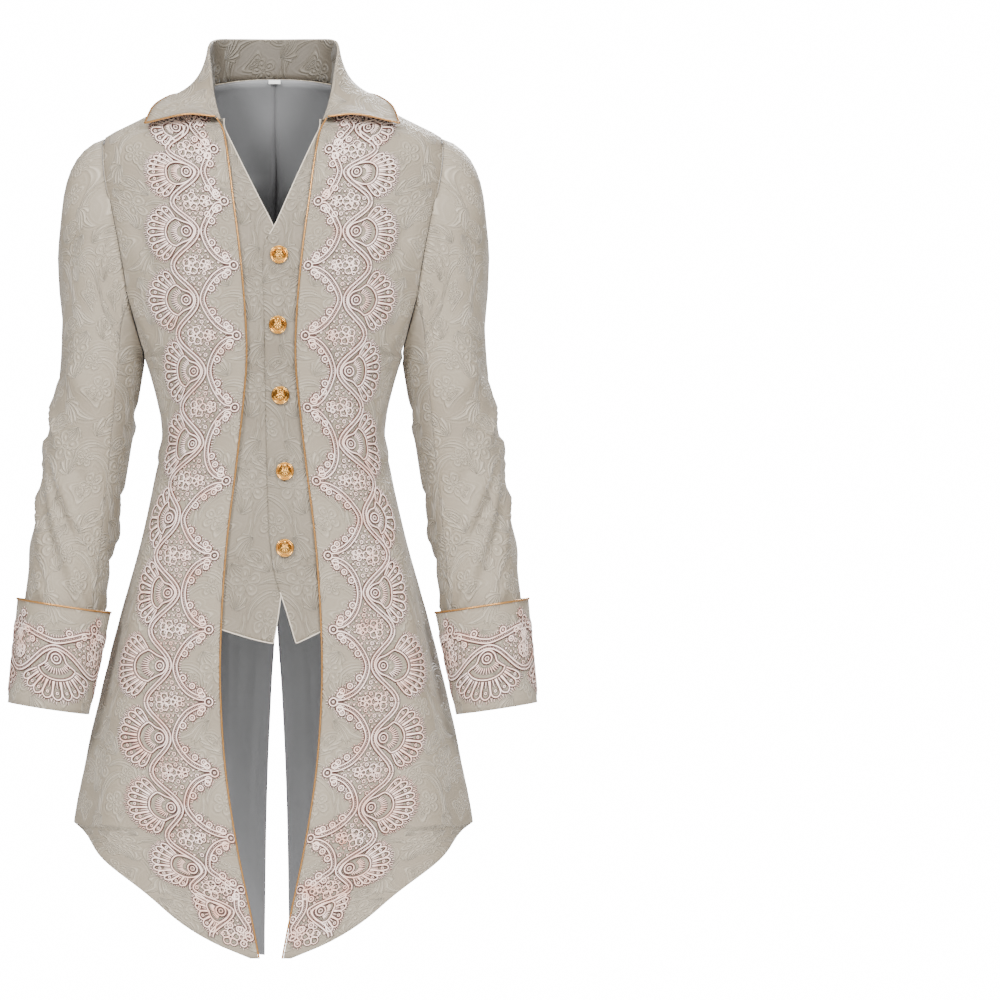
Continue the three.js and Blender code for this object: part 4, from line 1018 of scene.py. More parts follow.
def sleeve_grid(first, last, count):
    """A sleeve piece from the armhole down, between two columns of the armhole."""
    ring = armhole_ring()
    column = first + (last - first) * edged_shares(count)
    place = column * ARMHOLE_STEPS % len(ring)
    low = place.astype(int)
    share = (place - low)[:, None]
    start = ring[low % len(ring)] * (1 - share) + ring[(low + 1) % len(ring)] * share
    start[:, 0] += CAP_SEAM_GAP
    top = SLEEVE["z"][0]
    angle = sleeve_angle(column, top)
    end = arm_point(angle, np.full_like(angle, top))
    reach = np.linalg.norm(end - start, axis=1)[:, None]
    leave = np.stack([CAP_OUT + CAP_OUT_SWING * np.cos(angle), 0 * angle,
                      -CAP_DOWN - CAP_DOWN_SWING * np.cos(angle)], axis=1)
    leave *= reach / np.linalg.norm(leave, axis=1)[:, None]
    arrive = np.array([sin(SLEEVE_TILT), 0, -cos(SLEEVE_TILT)]) * reach
    t = (np.arange(CAP_ROWS) / CAP_ROWS)[:, None, None]
    cap = (start * (1 + 2 * t) * (1 - t) ** 2 + leave * t * (1 - t) ** 2
           + end * t * t * (3 - 2 * t) + arrive * t * t * (t - 1))
    z = heights(top, CUFF_BOTTOM, ROW_STEP)[:, None]
    arm = arm_point(sleeve_angle(column[None, :], z), z)
    return np.concatenate([cap, arm])


SLEEVE_TOP_CREASES = [
    (0.62, 0.12, 62, 120, 9, -2.6, 0.2), (0.40, 0.20, 75, 160, 12, 2.0, 0.1),
    (0.72, 0.26, 55, 130, 9, 2.6, 0.2), (0.55, 0.34, 66, 170, 9, -3.0, 0.2),
    (0.78, 0.41, 48, 120, 8, -3.2, 0.2), (0.60, 0.46, 35, 130, 8, 2.8, 0.2),
    (0.82, 0.50, 24, 110, 7, 3.0, 0.1), (0.70, 0.54, 16, 140, 7, -3.4, 0.1),
    (0.45, 0.58, 30, 130, 8, 2.6, 0.2), (0.30, 0.48, 58, 160, 11, -2.6, 0.2),
    (0.80, 0.60, 4, 120, 7, 3.0, 0.1), (0.66, 0.65, -8, 140, 8, -3.0, 0.1),
    (0.50, 0.72, -22, 140, 9, 2.4, 0.1), (0.25, 0.74, -60, 170, 12, 2.2, 0.1),
    (0.15, 0.33, 80, 180, 10, 2.0, 0.1), (0.72, 0.78, 12, 120, 8, 2.2, 0.1),
    (0.18, 0.60, 70, 150, 10, -2.0, 0.1),
]
SLEEVE_UNDER_CREASES = [
    (0.35, 0.22, -50, 90, 8, -2.6, 0.2), (0.60, 0.30, -30, 100, 8, 2.2, 0.2),
    (0.40, 0.42, -18, 110, 8, -2.6, 0.1), (0.55, 0.50, 6, 110, 8, 2.6, 0.1),
    (0.45, 0.57, 14, 110, 8, -2.4, 0.1), (0.50, 0.66, 20, 100, 8, 2.0, 0.1),
]

# The columns of the armhole that each sleeve piece runs between. The under sleeve's brocade is darkened as
# painted shade, on its side towards the body.
SLEEVE_PARTS = {
    "sleeve_top": {"first": HINDARM_COLUMN, "last": FOREARM_COLUMN, "columns": 40,
                   "creases": SLEEVE_TOP_CREASES, "woven": "brocade", "shift": (0.07, 0.02)},
    "sleeve_under": {"first": FOREARM_COLUMN, "last": ARMHOLE_COUNT + HINDARM_COLUMN, "columns": 22,
                     "creases": SLEEVE_UNDER_CREASES, "woven": "painted shade brocade", "shift": (0.02, 0.05)},
}
SLEEVE_MIDDLE = (240, -5, -500)


class TAILCOAT_OT_sleeves(bpy.types.Operator):
    """Two-piece sleeves, bent a little and creased at the elbow"""

    bl_idname = "tailcoat.sleeves"
    bl_label = "Sleeves"

    def execute(self, context):
        looks = context.scene.tailcoat_looks
        for kind, part in SLEEVE_PARTS.items():
            grid = sleeve_grid(part["first"], part["last"], part["columns"])
            grid = creased(grid, part["creases"], looks.crease_depth * SLEEVE_CREASE_SHARE, SLEEVE_MIDDLE)
            grid = turned_in(grid, ("left", "right"), SLEEVE_SEAM_DEPTH, SLEEVE_SEAM_WIDTH, SLEEVE_MIDDLE)
            grid = turned_in(grid, ("top",), ARMHOLE_SEAM_DEPTH, ARMHOLE_SEAM_WIDTH, SLEEVE_MIDDLE)
            for side in SIDES:
                piece = cloth(f"{kind}_cloth_{side}", mirrored(grid, side), looks.cloth_thickness,
                              [finish(part["woven"]), finish("satin")], "brocade", [f"{kind}_{side}"],
                              mirrored(np.array(SLEEVE_MIDDLE), side), part["shift"], by_height=True)
        return {"FINISHED"}


def cuff_grid():
    """The cuff from its top edge down, round the arm from one side of the slit to the other."""
    share = np.linspace(0, 1, CUFF_COLUMNS)[None, :]
    height = np.linspace(1, 0, CUFF_ROWS)[:, None]
    half_slit = radians(CUFF_SLIT_WIDTH) / 2
    angle = radians(CUFF_SLIT_ANGLE) + half_slit + share * (2 * pi - 2 * half_slit)
    from_slit = np.minimum(share, 1 - share) * 360
    notch = CUFF_NOTCH_DEPTH * np.clip(1 - from_slit / CUFF_NOTCH_DEGREES, 0, 1) ** CUFF_NOTCH_POWER
    z = CUFF_BOTTOM + (CUFF_TOP - notch - CUFF_BOTTOM) * height
    rise = (z - CUFF_BOTTOM) / (CUFF_TOP - CUFF_BOTTOM)
    wide = CUFF_HALF_WIDTHS[0] + (CUFF_HALF_WIDTHS[1] - CUFF_HALF_WIDTHS[0]) * rise
    deep = CUFF_HALF_DEPTHS[0] + (CUFF_HALF_DEPTHS[1] - CUFF_HALF_DEPTHS[0]) * rise
    return section_point(angle + 0 * z, z, wide, deep)


CUFF_CREASES = [
    (0.30, 0.40, 84, 110, 12, -1.6, 0.0), (0.55, 0.50, 88, 120, 14, 1.4, 0.0),
    (0.78, 0.45, 80, 110, 12, -1.5, 0.0), (0.12, 0.50, 86, 110, 10, 1.2, 0.0),
]
CUFF_MIDDLE = (270, -35, -720)


class TAILCOAT_OT_cuffs(bpy.types.Operator):
    """Turned-back cuffs with a slit at the back of the arm"""

    bl_idname = "tailcoat.cuffs"
    bl_label = "Cuffs"

    def execute(self, context):
        looks = context.scene.tailcoat_looks
        grid = creased(cuff_grid(), CUFF_CREASES, looks.crease_depth, CUFF_MIDDLE)
        SURFACES["cuff"] = Surface(grid, np.linspace(CUFF_TOP - CUFF_BOTTOM, 0, CUFF_ROWS), CUFF_MIDDLE)
        for side in SIDES:
            hand = mirrored(grid, side)
            piece = cloth(f"cuff_cloth_{side}", hand, looks.cloth_thickness, [finish("brocade")], "brocade",
                          [f"cuff_{side}"], mirrored(np.array(CUFF_MIDDLE), side), CUFF_SHIFT)
            edge = np.concatenate([hand[:CUFF_SLIT_ROWS, 0][::-1], hand[0], hand[:CUFF_SLIT_ROWS, -1]])
            out = edge - edge.mean(axis=0)
            edge = edge + out / np.linalg.norm(out, axis=1, keepdims=True) * CUFF_CORD_OUT
            edge = edge + np.array([0, 0, CUFF_CORD_UP])
            trim = piping(f"cord_cuff_{side}", edge, CORD_RADIUS, f"piping_cuff_{side}")
        return {"FINISHED"}


# Collar

def collar_line(half, count, cornered):
    """A full line round the collar through the stations of one half, with a corner at each tip if asked."""
    half = np.asarray(half, float)
    full = np.concatenate([half[1:][::-1] * np.array([-1, 1, 1]), half])
    middle = len(half) - 1
    cuts = [0, len(full) - 1]
    if cornered:
        cuts = [0, middle - COLLAR_TIP_STATION, middle + COLLAR_TIP_STATION, len(full) - 1]
    parts = [smooth_line(full[a:b + 1], count)[:-1] for a, b in zip(cuts, cuts[1:])]
    return np.concatenate([*parts, full[-1:]])


COLLAR_STEPS = 9
COLLAR_STAND_ROWS, COLLAR_FOLD_ROWS, COLLAR_LEAF_ROWS = 7, 5, 16
COLLAR_ROLL, COLLAR_STAND_BOW, COLLAR_CORD_OUT = 1.7, 0.8, 1.2
COLLAR_NECK_MIDDLE = (0, -8, 20)
COLLAR_SHIFT = (0.02, 0.0)


def collar_grid(thickness):
    """Stand, fold and leaf as one sheet, from the neck seam up and over to the leaf's edge."""
    seam = []
    for station in COLLAR:
        on_front = "turn" not in station
        z = station["ring"]
        angle = front_inner(np.array(float(z))) if on_front else radians(station["turn"])
        point = body_point(angle, z)
        seam.append(point + np.array([-thickness - COLLAR_LIFT if on_front else 0, 0, COLLAR_LIFT]))
    seam = collar_line(seam, COLLAR_STEPS, False)
    fold = collar_line([s["fold"] for s in COLLAR], COLLAR_STEPS, False)
    edge = collar_line([s["edge"] for s in COLLAR], COLLAR_STEPS, True)
    control = [[f + (e - f) * (s["out"] if k < 2 else s["down"])
                for k, (f, e) in enumerate(zip(s["fold"], s["edge"]))] for s in COLLAR]
    control = collar_line(control, COLLAR_STEPS, True)
    lean = np.cross(np.gradient(fold, axis=0), fold - seam)
    lean /= np.maximum(np.linalg.norm(lean, axis=1, keepdims=True), 1e-9)
    lean *= np.sign((lean * (fold - np.array(COLLAR_NECK_MIDDLE))).sum(axis=1, keepdims=True))
    rise = (fold - seam) / np.maximum(np.linalg.norm(fold - seam, axis=1, keepdims=True), 1e-9)
    rows = []
    for t in np.linspace(0, 1, COLLAR_STAND_ROWS, endpoint=False):
        rows.append(seam + (fold - seam) * t - lean * COLLAR_STAND_BOW * sin(pi * t))
    for t in np.linspace(0, pi, COLLAR_FOLD_ROWS):
        rows.append(fold + lean * COLLAR_ROLL * (1 - cos(t)) + rise * COLLAR_ROLL * sin(t))
    start = rows[-1]
    for t in np.linspace(0, 1, COLLAR_LEAF_ROWS + 1)[1:]:
        rows.append(start * (1 - t) ** 2 + control * 2 * t * (1 - t) + edge * t * t)
    return np.array(rows)


class TAILCOAT_OT_collar(bpy.types.Operator):
    """Collar of one sheet that stands up and turns down, with gold piping at its edge"""

    bl_idname = "tailcoat.collar"
    bl_label = "Collar"

    def execute(self, context):
        looks = context.scene.tailcoat_looks
        grid = collar_grid(looks.cloth_thickness)
        under_leaf = grid[COLLAR_STAND_ROWS + 8, grid.shape[1] // 2] - np.array([0, 30, 0])
        faces = [finish("brocade"), finish("facing"), finish("brocade")]
        piece = cloth("collar", grid, looks.cloth_thickness, faces, "brocade",
                      ["collar_stand", "collar_leaf"], under_leaf, COLLAR_SHIFT)
        # The grid's rows make the faces row by row, with the leaf's edge first; the stand's rows take the
        # darker brocade, painted shade inside the stand
        across = grid.shape[1] - 1
        for face in piece.data.polygons:
            face.material_index = int(face.index // across >= grid.shape[0] - 1 - COLLAR_STAND_ROWS)
        out = grid[-1] - grid[-2]
        edge = grid[-1] + out / np.linalg.norm(out, axis=1, keepdims=True) * COLLAR_CORD_OUT
        tip = (len(COLLAR) - 1 - COLLAR_TIP_STATION) * COLLAR_STEPS
        runs = {"right": edge[:tip + 1], "back": edge[tip:-tip], "left": edge[-tip - 1:]}
        trims = [piping(f"cord_collar_{part}", run, CORD_RADIUS, f"piping_collar_{part}")
                 for part, run in runs.items()]
        return {"FINISHED"}


class TAILCOAT_OT_front_piping(bpy.types.Operator):
    """Gold piping down each front edge"""

    bl_idname = "tailcoat.front_piping"
    bl_label = "Front Piping"

    def execute(self, context):
        grid, rows = SURFACES["front"].grid, SURFACES["front"].rows
        out = grid[:, 0] - grid[:, PIPING_INNER_COLUMN]
        out /= np.linalg.norm(out, axis=1, keepdims=True)
        edge = (grid[:, 0] + out * FRONT_CORD_RADIUS)[rows < PIPING_TOP]
        edge = np.concatenate([[PIPING_START], edge])
        for side in SIDES:
            piping(f"cord_front_{side}", mirrored(edge, side), FRONT_CORD_RADIUS, f"piping_front_{side}")
        return {"FINISHED"}


# Buttons and label

# A button's rim from its back outwards, as radius and height, then its groove and dome
BUTTON_RIM = [
    (0, 0), (3.2, 0), (3.2, 1.6), (10.4, 1.8), (11.2, 2.3), (11.3, 3.1), (10.9, 3.9), (10.2, 4.1),
    (9.7, 3.4), (9.2, 2.4),
]
DOME_RADIUS, DOME_HEIGHT, DOME_RINGS, BUTTON_STEPS = 9.2, 5.2, 14, 64
GROOVE_HEIGHT = BUTTON_RIM[-1][1]
EYE_RADIUS, EYE_HEIGHT, PETAL_END, PETAL_HEIGHT, PETAL_SINK, PETAL_POWER = 1.8, 0.7, 7.4, 1.7, 0.5, 0.8
BUTTON_GAP = 0.5


def rosette_height(radius, turn, petals):
    """The dome of a button with a plain rosette of petals in it."""
    dome = DOME_HEIGHT * (1 - (radius / DOME_RADIUS) ** 2)
    petal = PETAL_HEIGHT * np.abs(np.cos(turn * petals / 2)) ** PETAL_POWER
    along = (radius - EYE_RADIUS) / (PETAL_END - EYE_RADIUS)
    raised = np.where((along > 0) & (along < 1), petal * np.sin(pi * along) - PETAL_SINK, 0)
    return dome + raised + np.where(along <= 0, EYE_HEIGHT, 0)


def button_mesh(name, petals, seat, normal):
    """A button turned to face along a normal, with its back at its seat."""
    shell = bmesh.new()
    radii = np.linspace(DOME_RADIUS, 0, DOME_RINGS + 1)[1:]
    profile = BUTTON_RIM + [(float(r), GROOVE_HEIGHT) for r in radii]
    verts = [shell.verts.new((r, 0, h)) for r, h in profile]
    edges = [shell.edges.new(pair) for pair in zip(verts, verts[1:])]
    bmesh.ops.spin(shell, geom=verts + edges, cent=(0, 0, 0), axis=(0, 0, 1), angle=2 * pi,
                   steps=BUTTON_STEPS, use_merge=True)
    bmesh.ops.remove_doubles(shell, verts=shell.verts, dist=1e-4)
    for vert in shell.verts:
        r = vert.co.xy.length
        if r < DOME_RADIUS - 0.05 and vert.co.z > GROOVE_HEIGHT - 0.05:
            turn = np.arctan2(vert.co.y, vert.co.x)
            vert.co.z = GROOVE_HEIGHT + float(rosette_height(r, turn, petals))
    bmesh.ops.recalc_face_normals(shell, faces=shell.faces)
    turned = Vector((0, 0, 1)).rotation_difference(Vector(normal)).to_matrix().to_4x4()
    bmesh.ops.transform(shell, matrix=turned, verts=shell.verts)
    bmesh.ops.translate(shell, vec=Vector(seat), verts=shell.verts)
    bmesh.ops.scale(shell, vec=(MM, MM, MM), verts=shell.verts)
    mesh = bpy.data.meshes.new(name)
    shell.to_mesh(mesh)
    shell.free()
    return mesh


class TAILCOAT_OT_buttons(bpy.types.Operator):
    """Domed gilt buttons with a rim and a plain rosette"""

    bl_idname = "tailcoat.buttons"
    bl_label = "Buttons"

    def execute(self, context):
        looks = context.scene.tailcoat_looks
        for i, (x, z) in enumerate(BUTTONS):
            name = f"gilt_button_{i + 1}"
            angle = front_angle(x, z)
            normal = np.cross(body_point(angle + 0.02, z) - body_point(angle - 0.02, z),
                              body_point(angle, z + 2) - body_point(angle, z - 2))
            normal /= np.linalg.norm(normal)
            seat = body_point(angle, z) - normal * (VEST_SINK - BUTTON_GAP)
            mesh = button_mesh(name, looks.button_petals, seat, normal)
            finished(mesh, name, [finish("gold")], "gold_metal", [f"button_{i + 1}"])
        return {"FINISHED"}


LABEL_ROUNDING = 0.3 * MM


class TAILCOAT_OT_label(bpy.types.Operator):
    """Blank woven loop at the back of the neck"""

    bl_idname = "tailcoat.label"
    bl_label = "Neck Label"

    def execute(self, context):
        low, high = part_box("neck_label")
        shell = bmesh.new()
        bmesh.ops.create_cube(shell, size=1)
        bmesh.ops.scale(shell, vec=high - low, verts=shell.verts)
        bmesh.ops.bevel(shell, geom=shell.edges, offset=LABEL_ROUNDING, segments=2, profile=0.5,
                        affect="EDGES", material=-1)
        bmesh.ops.translate(shell, vec=(low + high) / 2, verts=shell.verts)
        mesh = bpy.data.meshes.new("label")
        shell.to_mesh(mesh)
        shell.free()
        finished(mesh, "label", [finish("tape")], "tape", ["neck_label"])
        return {"FINISHED"}


# Lace

# Threads are flattened on the cloth, and lie just clear of it
THREAD_FLATNESS, THREAD_GAP = 0.34, 0.15
# Half thicknesses of threads
MAIN, PETAL, FINE, HAIR = 2.2, 2.1, 1.45, 0.95


class Threads:
    """The threads of a piece of lace, drawn flat: across, up and a height above the cloth."""

    def __init__(self, step):
        self.step, self.runs = step, []

    def run(self, points, radius, closed=False, fine=True):
        """A thread through points, smoothed if it is fine work, and joined to its start if closed."""
        points = np.asarray(points, float)
        if fine:
            points = respaced(smooth_line(points, 6), self.step)
        if closed:
            points = points[:-1]
        self.runs.append((points, radius, closed))

    def ring(self, middle, radius, thickness, count):
        turn = np.linspace(0, 2 * pi, count + 1)
        points = np.stack([middle[0] + radius * np.cos(turn), middle[1] + radius * np.sin(turn)], axis=1)
        self.run(points, thickness, closed=True, fine=False)

    def mesh(self, name):
        curve = bpy.data.curves.new(name, "CURVE")
        curve.dimensions = "3D"
        curve.twist_mode = "Z_UP"
        curve.bevel_depth = 1.0
        curve.bevel_resolution = 0
        curve.use_fill_caps = True
        for points, radius, closed in self.runs:
            spline = curve.splines.new("POLY")
            spline.points.add(len(points) - 1)
            height = np.full((len(points), 1), radius)
            spline.points.foreach_set("co", np.concatenate([points, height, height * 0 + 1], axis=1).ravel())
            spline.points.foreach_set("radius", [radius] * len(points))
            spline.use_cyclic_u = closed
        shape = bpy.data.objects.new(name, curve)
        bpy.context.scene.collection.objects.link(shape)
        mesh = bpy.data.meshes.new_from_object(shape)
        bpy.data.objects.remove(shape)
        bpy.data.curves.remove(curve)
        return mesh


def directions(points):
    """Unit vectors along a line at its points."""
    along = np.gradient(points, axis=0)
    return along / np.maximum(np.linalg.norm(along, axis=1, keepdims=True), 1e-9)


def offset_line(points, distance):
    """A line beside another one."""
    along = directions(points)
    return points + np.stack([-along[:, 1], along[:, 0]], axis=1) * distance


BRAID_STEP, FRINGE_LEAN = 2.2, 0.5


def braid(threads, points, width):
    """Two rails with a zigzag between them."""
    middle = respaced(smooth_line(points, 8), BRAID_STEP)
    sides = [offset_line(middle, width / 2), offset_line(middle, -width / 2)]
    for side in sides:
        threads.run(side, MAIN)
    zigzag = np.where((np.arange(len(middle)) % 2 == 0)[:, None], sides[0], sides[1])
    threads.run(zigzag, FINE, fine=False)
    return middle


def fringe(threads, points, reach, step):
    """Short hairs standing off a line, on the left of its direction if reach is positive."""
    line = respaced(points, step)
    sway = directions(line) * FRINGE_LEAN
    sway[::2] *= -1
    for foot, tip in zip(line, offset_line(line, reach) + sway):
        threads.run([foot, tip], HAIR, fine=False)


# Places on a petal: out from the flower's middle and aside, as shares of its radius
FLOWER_PETAL = np.array([
    (0.18, 0), (0.6, 0.42), (0.95, 0.3), (1.05, 0), (0.95, -0.3), (0.6, -0.42), (0.18, 0),
])
FLOWER_PETALS, FLOWER_THREAD = 5, FINE * 1.15


def flower(threads, middle, radius, turn):
    """Five looped petals round a ring."""
    out, aside = radius * FLOWER_PETAL.T
    for k in range(FLOWER_PETALS):
        a = turn + 2 * pi * k / FLOWER_PETALS
        points = np.stack([middle[0] + out * cos(a) - aside * sin(a),
                           middle[1] + out * sin(a) + aside * cos(a)], axis=1)
        threads.run(points, FLOWER_THREAD, closed=True)
    threads.ring(middle, radius * 0.2, FINE, 6)


NET_STEP, NET_DOT, NET_LOOP, NET_MARGIN = 6.6, 0.9, 2.1, 1.5


def netting(threads, spot, inner, outer, pitch):
    """A net of small dots and loops between two edges that swing with the repeat."""
    count = int(pitch / NET_STEP)
    for r in range(count):
        b = -1 + (r + 0.5) * 2 / count
        near, far = inner(b), outer(b)
        across = int((far - near) / NET_STEP)
        for c in range(across):
            a = near + (c + 0.5 + 0.5 * (r % 2)) * (far - near) / max(across, 1)
            if a > far - NET_MARGIN:
                continue
            arch = [spot(a, b), spot(a + NET_STEP * 0.5, b + 1.0 / count), spot(a + NET_STEP, b)]
            threads.run(arch, HAIR, fine=False)
            if (r + c) % 3:
                threads.ring(spot(a, b), NET_DOT, FINE, 6)
            else:
                threads.ring(spot(a, b), NET_LOOP, FINE, 7)


CURL_RIM, CURL_FRINGE, CURL_FRINGE_STEP = 0.8, 3.6, 3.2


def curl(threads, middle, radius):
    """A ring with a dot in it and a fringe round it."""
    turn = np.linspace(0, 2 * pi, 19)
    rim = np.array(middle) + (radius + CURL_RIM) * np.stack([np.cos(turn), np.sin(turn)], axis=1)
    fringe(threads, rim, -CURL_FRINGE, CURL_FRINGE_STEP)
    threads.ring(middle, radius, PETAL, 12)
    threads.ring(middle, radius * 0.25, FINE, 6)


# One repeat of the lace. Places are millimetres out from the eye towards the fan, and from -1 to 1
# along the repeat, between the middles of the fields beside it.
INNER_BRAID_WIDTH, OUTER_BRAID_WIDTH, BRAID_SWING, BRAID_OUT = 4.8, 4.2, 16, 1
BRAID_FRINGE_FOOT, BRAID_FRINGE, BRAID_FRINGE_STEP = 2.8, 4.8, 3.4
NET_INNER_GAP, NET_OUTER_GAP = 4.5, 3.5
BAY_CURLS, BAY_CURL_RADIUS = [(-33, 0.34), (-33, -0.34)], 3.8
# Curls beside a tongue: how far back from its tip, and along; then those at the tip: back, up, radius
TONGUE_CURLS, TONGUE_CURL_RADIUS, TONGUE_END = [(15, 0.70), (25, 0.56)], 3.2, 4
TIP_CURLS = [(0, 0, 5.0), (8.5, 8.5, 3.8), (8.5, -8.5, 3.8)]
# Flowers of a field: out, along, radius, turn
FIELD_FLOWERS = [(-7, 1.0, 10.5, 0.3), (-25, 0.99, 7.0, 0.9)]
FAN_HALF_ANGLE, FAN_SHOULDER, FAN_SHARE = radians(83), 0.38, 0.94
PETAL_SPACING, FEWEST_PETALS = 6.2, 6
# A fan's petal: aside as a share of the spacing, and how far out the fan
FAN_PETAL = [
    (-0.40, 0.50), (-0.45, 0.62), (-0.48, 0.74), (-0.38, 0.85), (0, 0.91), (0.38, 0.85), (0.48, 0.74),
    (0.45, 0.62), (0.40, 0.50),
]
FAN_HAIRS, HAIR_SWAY, HAIR_FOOT, HAIR_TIP, HAIR_DROP = (-0.40, -0.20, 0.0, 0.20, 0.40), 0.12, 0.90, 1.02, 0.1
VEIN, SEED_OUT, SEED_RADIUS = (0.50, 0.66), 0.76, 1.5
# The egg round the eye: out, and aside in millimetres; then the arc that closes it, and rays in it
EGG = [(4, -13), (-5, -9.5), (-10, -4), (-11, 0), (-10, 4), (-5, 9.5), (4, 13)]
EGG_ARC, RAYS, RAY_HALF_ANGLE, ARC_POINTS = 0.46, (0.20, 0.34), radians(80), 13
EYE_OUT, EYE_RING, EYE_DOT = -1, 6.0, 2.4


def lace_fan(threads, spot, reach, half):
    """A fan of petals with hairs at their tips, and the eye in its egg."""
    def fan(turn, share):
        out = FAN_SHOULDER + (1 - FAN_SHOULDER) * cos(turn)
        return spot(share * reach * out, share * FAN_SHARE * sin(turn))

    count = max(FEWEST_PETALS, int(round(reach / PETAL_SPACING)))
    step = 2 * FAN_HALF_ANGLE / count
    for k in range(count):
        turn = (k + 0.5) * step - FAN_HALF_ANGLE
        for s in FAN_HAIRS:
            sway = HAIR_SWAY if s > 0 else -HAIR_SWAY
            foot = fan(turn + s * step, HAIR_FOOT - abs(s) * HAIR_DROP)
            tip = fan(turn + (s + sway) * step, HAIR_TIP - abs(s) * HAIR_DROP)
            threads.run([foot, tip], HAIR, fine=False)
        threads.run([fan(turn, share) for share in VEIN], FINE, fine=False)
        threads.ring(fan(turn, SEED_OUT), SEED_RADIUS, FINE, 7)
        threads.run([fan(turn + s * step, share) for s, share in FAN_PETAL], PETAL)
    arc = [fan(turn, EGG_ARC) for turn in np.linspace(-FAN_HALF_ANGLE, FAN_HALF_ANGLE, ARC_POINTS)]
    egg = [spot(out, aside / half) for out, aside in EGG]
    threads.run([*arc, *egg[::-1], arc[0]], MAIN, closed=True)
    for turn in np.linspace(-RAY_HALF_ANGLE, RAY_HALF_ANGLE, ARC_POINTS):
        threads.run([fan(turn, share) for share in RAYS], FINE, fine=False)
    eye = spot(EYE_OUT, 0)
    threads.ring(eye, EYE_RING, PETAL, 12)
    threads.ring(eye, EYE_DOT, FINE, 8)


def lace_tongue(threads, spot, end, tongue, whole):
    """The curls of a tongue at one end of a repeat, with its tip and flowers if they aren't there yet."""
    for back, along in TONGUE_CURLS:
        curl(threads, spot(back - tongue, end * along), TONGUE_CURL_RADIUS)
    if not whole:
        return
    tip = spot(TONGUE_END - tongue, end)
    for back, above, radius in TIP_CURLS:
        curl(threads, (tip[0] + back, tip[1] + above), radius)
    for out, along, radius, turn in FIELD_FLOWERS:
        flower(threads, spot(out, end * along), radius, turn + end)


def lace_repeat(threads, spot, reach, tongue_up, tongue_down, pitch, first):
    """One fan of the lace with its braids, nets and tongues.

    spot(out, along) gives a place on the strip. reach is the fan's depth, and the tongues are how far
    the lace goes the other way at the repeat's ends. Only the first repeat has both tips.
    """
    def inner_braid(tongue):
        """Places from the middle of the repeat out along a tongue."""
        return [(-22, 0.0), (-27, 0.38), (-(24 + 0.2 * tongue), 0.70), (-0.74 * tongue, 0.87),
                (8 - tongue, 0.90)]

    up, down = inner_braid(tongue_up), inner_braid(tongue_down)
    places = [*up[::-1], *[(out, -along) for out, along in down[1:]]]
    middle = braid(threads, [spot(*place) for place in places], INNER_BRAID_WIDTH)
    fringe(threads, offset_line(middle, -BRAID_FRINGE_FOOT), -BRAID_FRINGE, BRAID_FRINGE_STEP)

    def swing(along):
        return -BRAID_SWING * cos(pi * along)

    wave = [spot(BRAID_OUT + swing(along), along) for along in np.linspace(-1, 1, 15)]
    braid(threads, wave, OUTER_BRAID_WIDTH)

    def bay(along):
        half = up if along > 0 else down
        return np.interp(abs(along), [p[1] for p in half], [p[0] + NET_INNER_GAP for p in half])

    def rail(along):
        return BRAID_OUT - NET_OUTER_GAP + swing(along)

    netting(threads, spot, bay, rail, pitch)
    for place in BAY_CURLS:
        curl(threads, spot(*place), BAY_CURL_RADIUS)
    lace_tongue(threads, spot, 1, tongue_up, first)
    lace_tongue(threads, spot, -1, tongue_down, True)
    lace_fan(threads, spot, reach, pitch / 2)


def laid(name, threads, surface, side, replaced, flat):
    """Lays flat threads on a panel and makes them a piece."""
    mesh = threads.mesh(name)
    flat_points = np.zeros(len(mesh.vertices) * 3)
    mesh.vertices.foreach_get("co", flat_points)
    flat_points = flat_points.reshape(-1, 3)
    lift = flat_points[:, 2] * THREAD_FLATNESS + THREAD_GAP
    placed = surface.place(flat_points[:, 0], flat_points[:, 1], lift)
    mesh.vertices.foreach_set("co", (mirrored(placed, side) * MM).ravel())
    # Marks the top point of each thread's section as 1 and the others as 0; the thread finish turns the
    # sides brown, partly painted shadow
    ridge = mesh.attributes.new("ridge", "FLOAT", "POINT")
    ridge.data.foreach_set("value", np.resize([1.0, 0.0, 0.0, 0.0], len(mesh.vertices)).astype(np.float32))
    shell = bmesh.new()
    shell.from_mesh(mesh)
    bmesh.ops.remove_doubles(shell, verts=shell.verts, dist=1e-7)
    if side == "right":
        bmesh.ops.reverse_faces(shell, faces=shell.faces)
    shell.to_mesh(mesh)
    shell.free()
    piece = finished(mesh, name, [finish("thread")], "lace", replaced)
    piece["flat_width"], piece["flat_length"], piece["flat_area"] = flat
    return piece


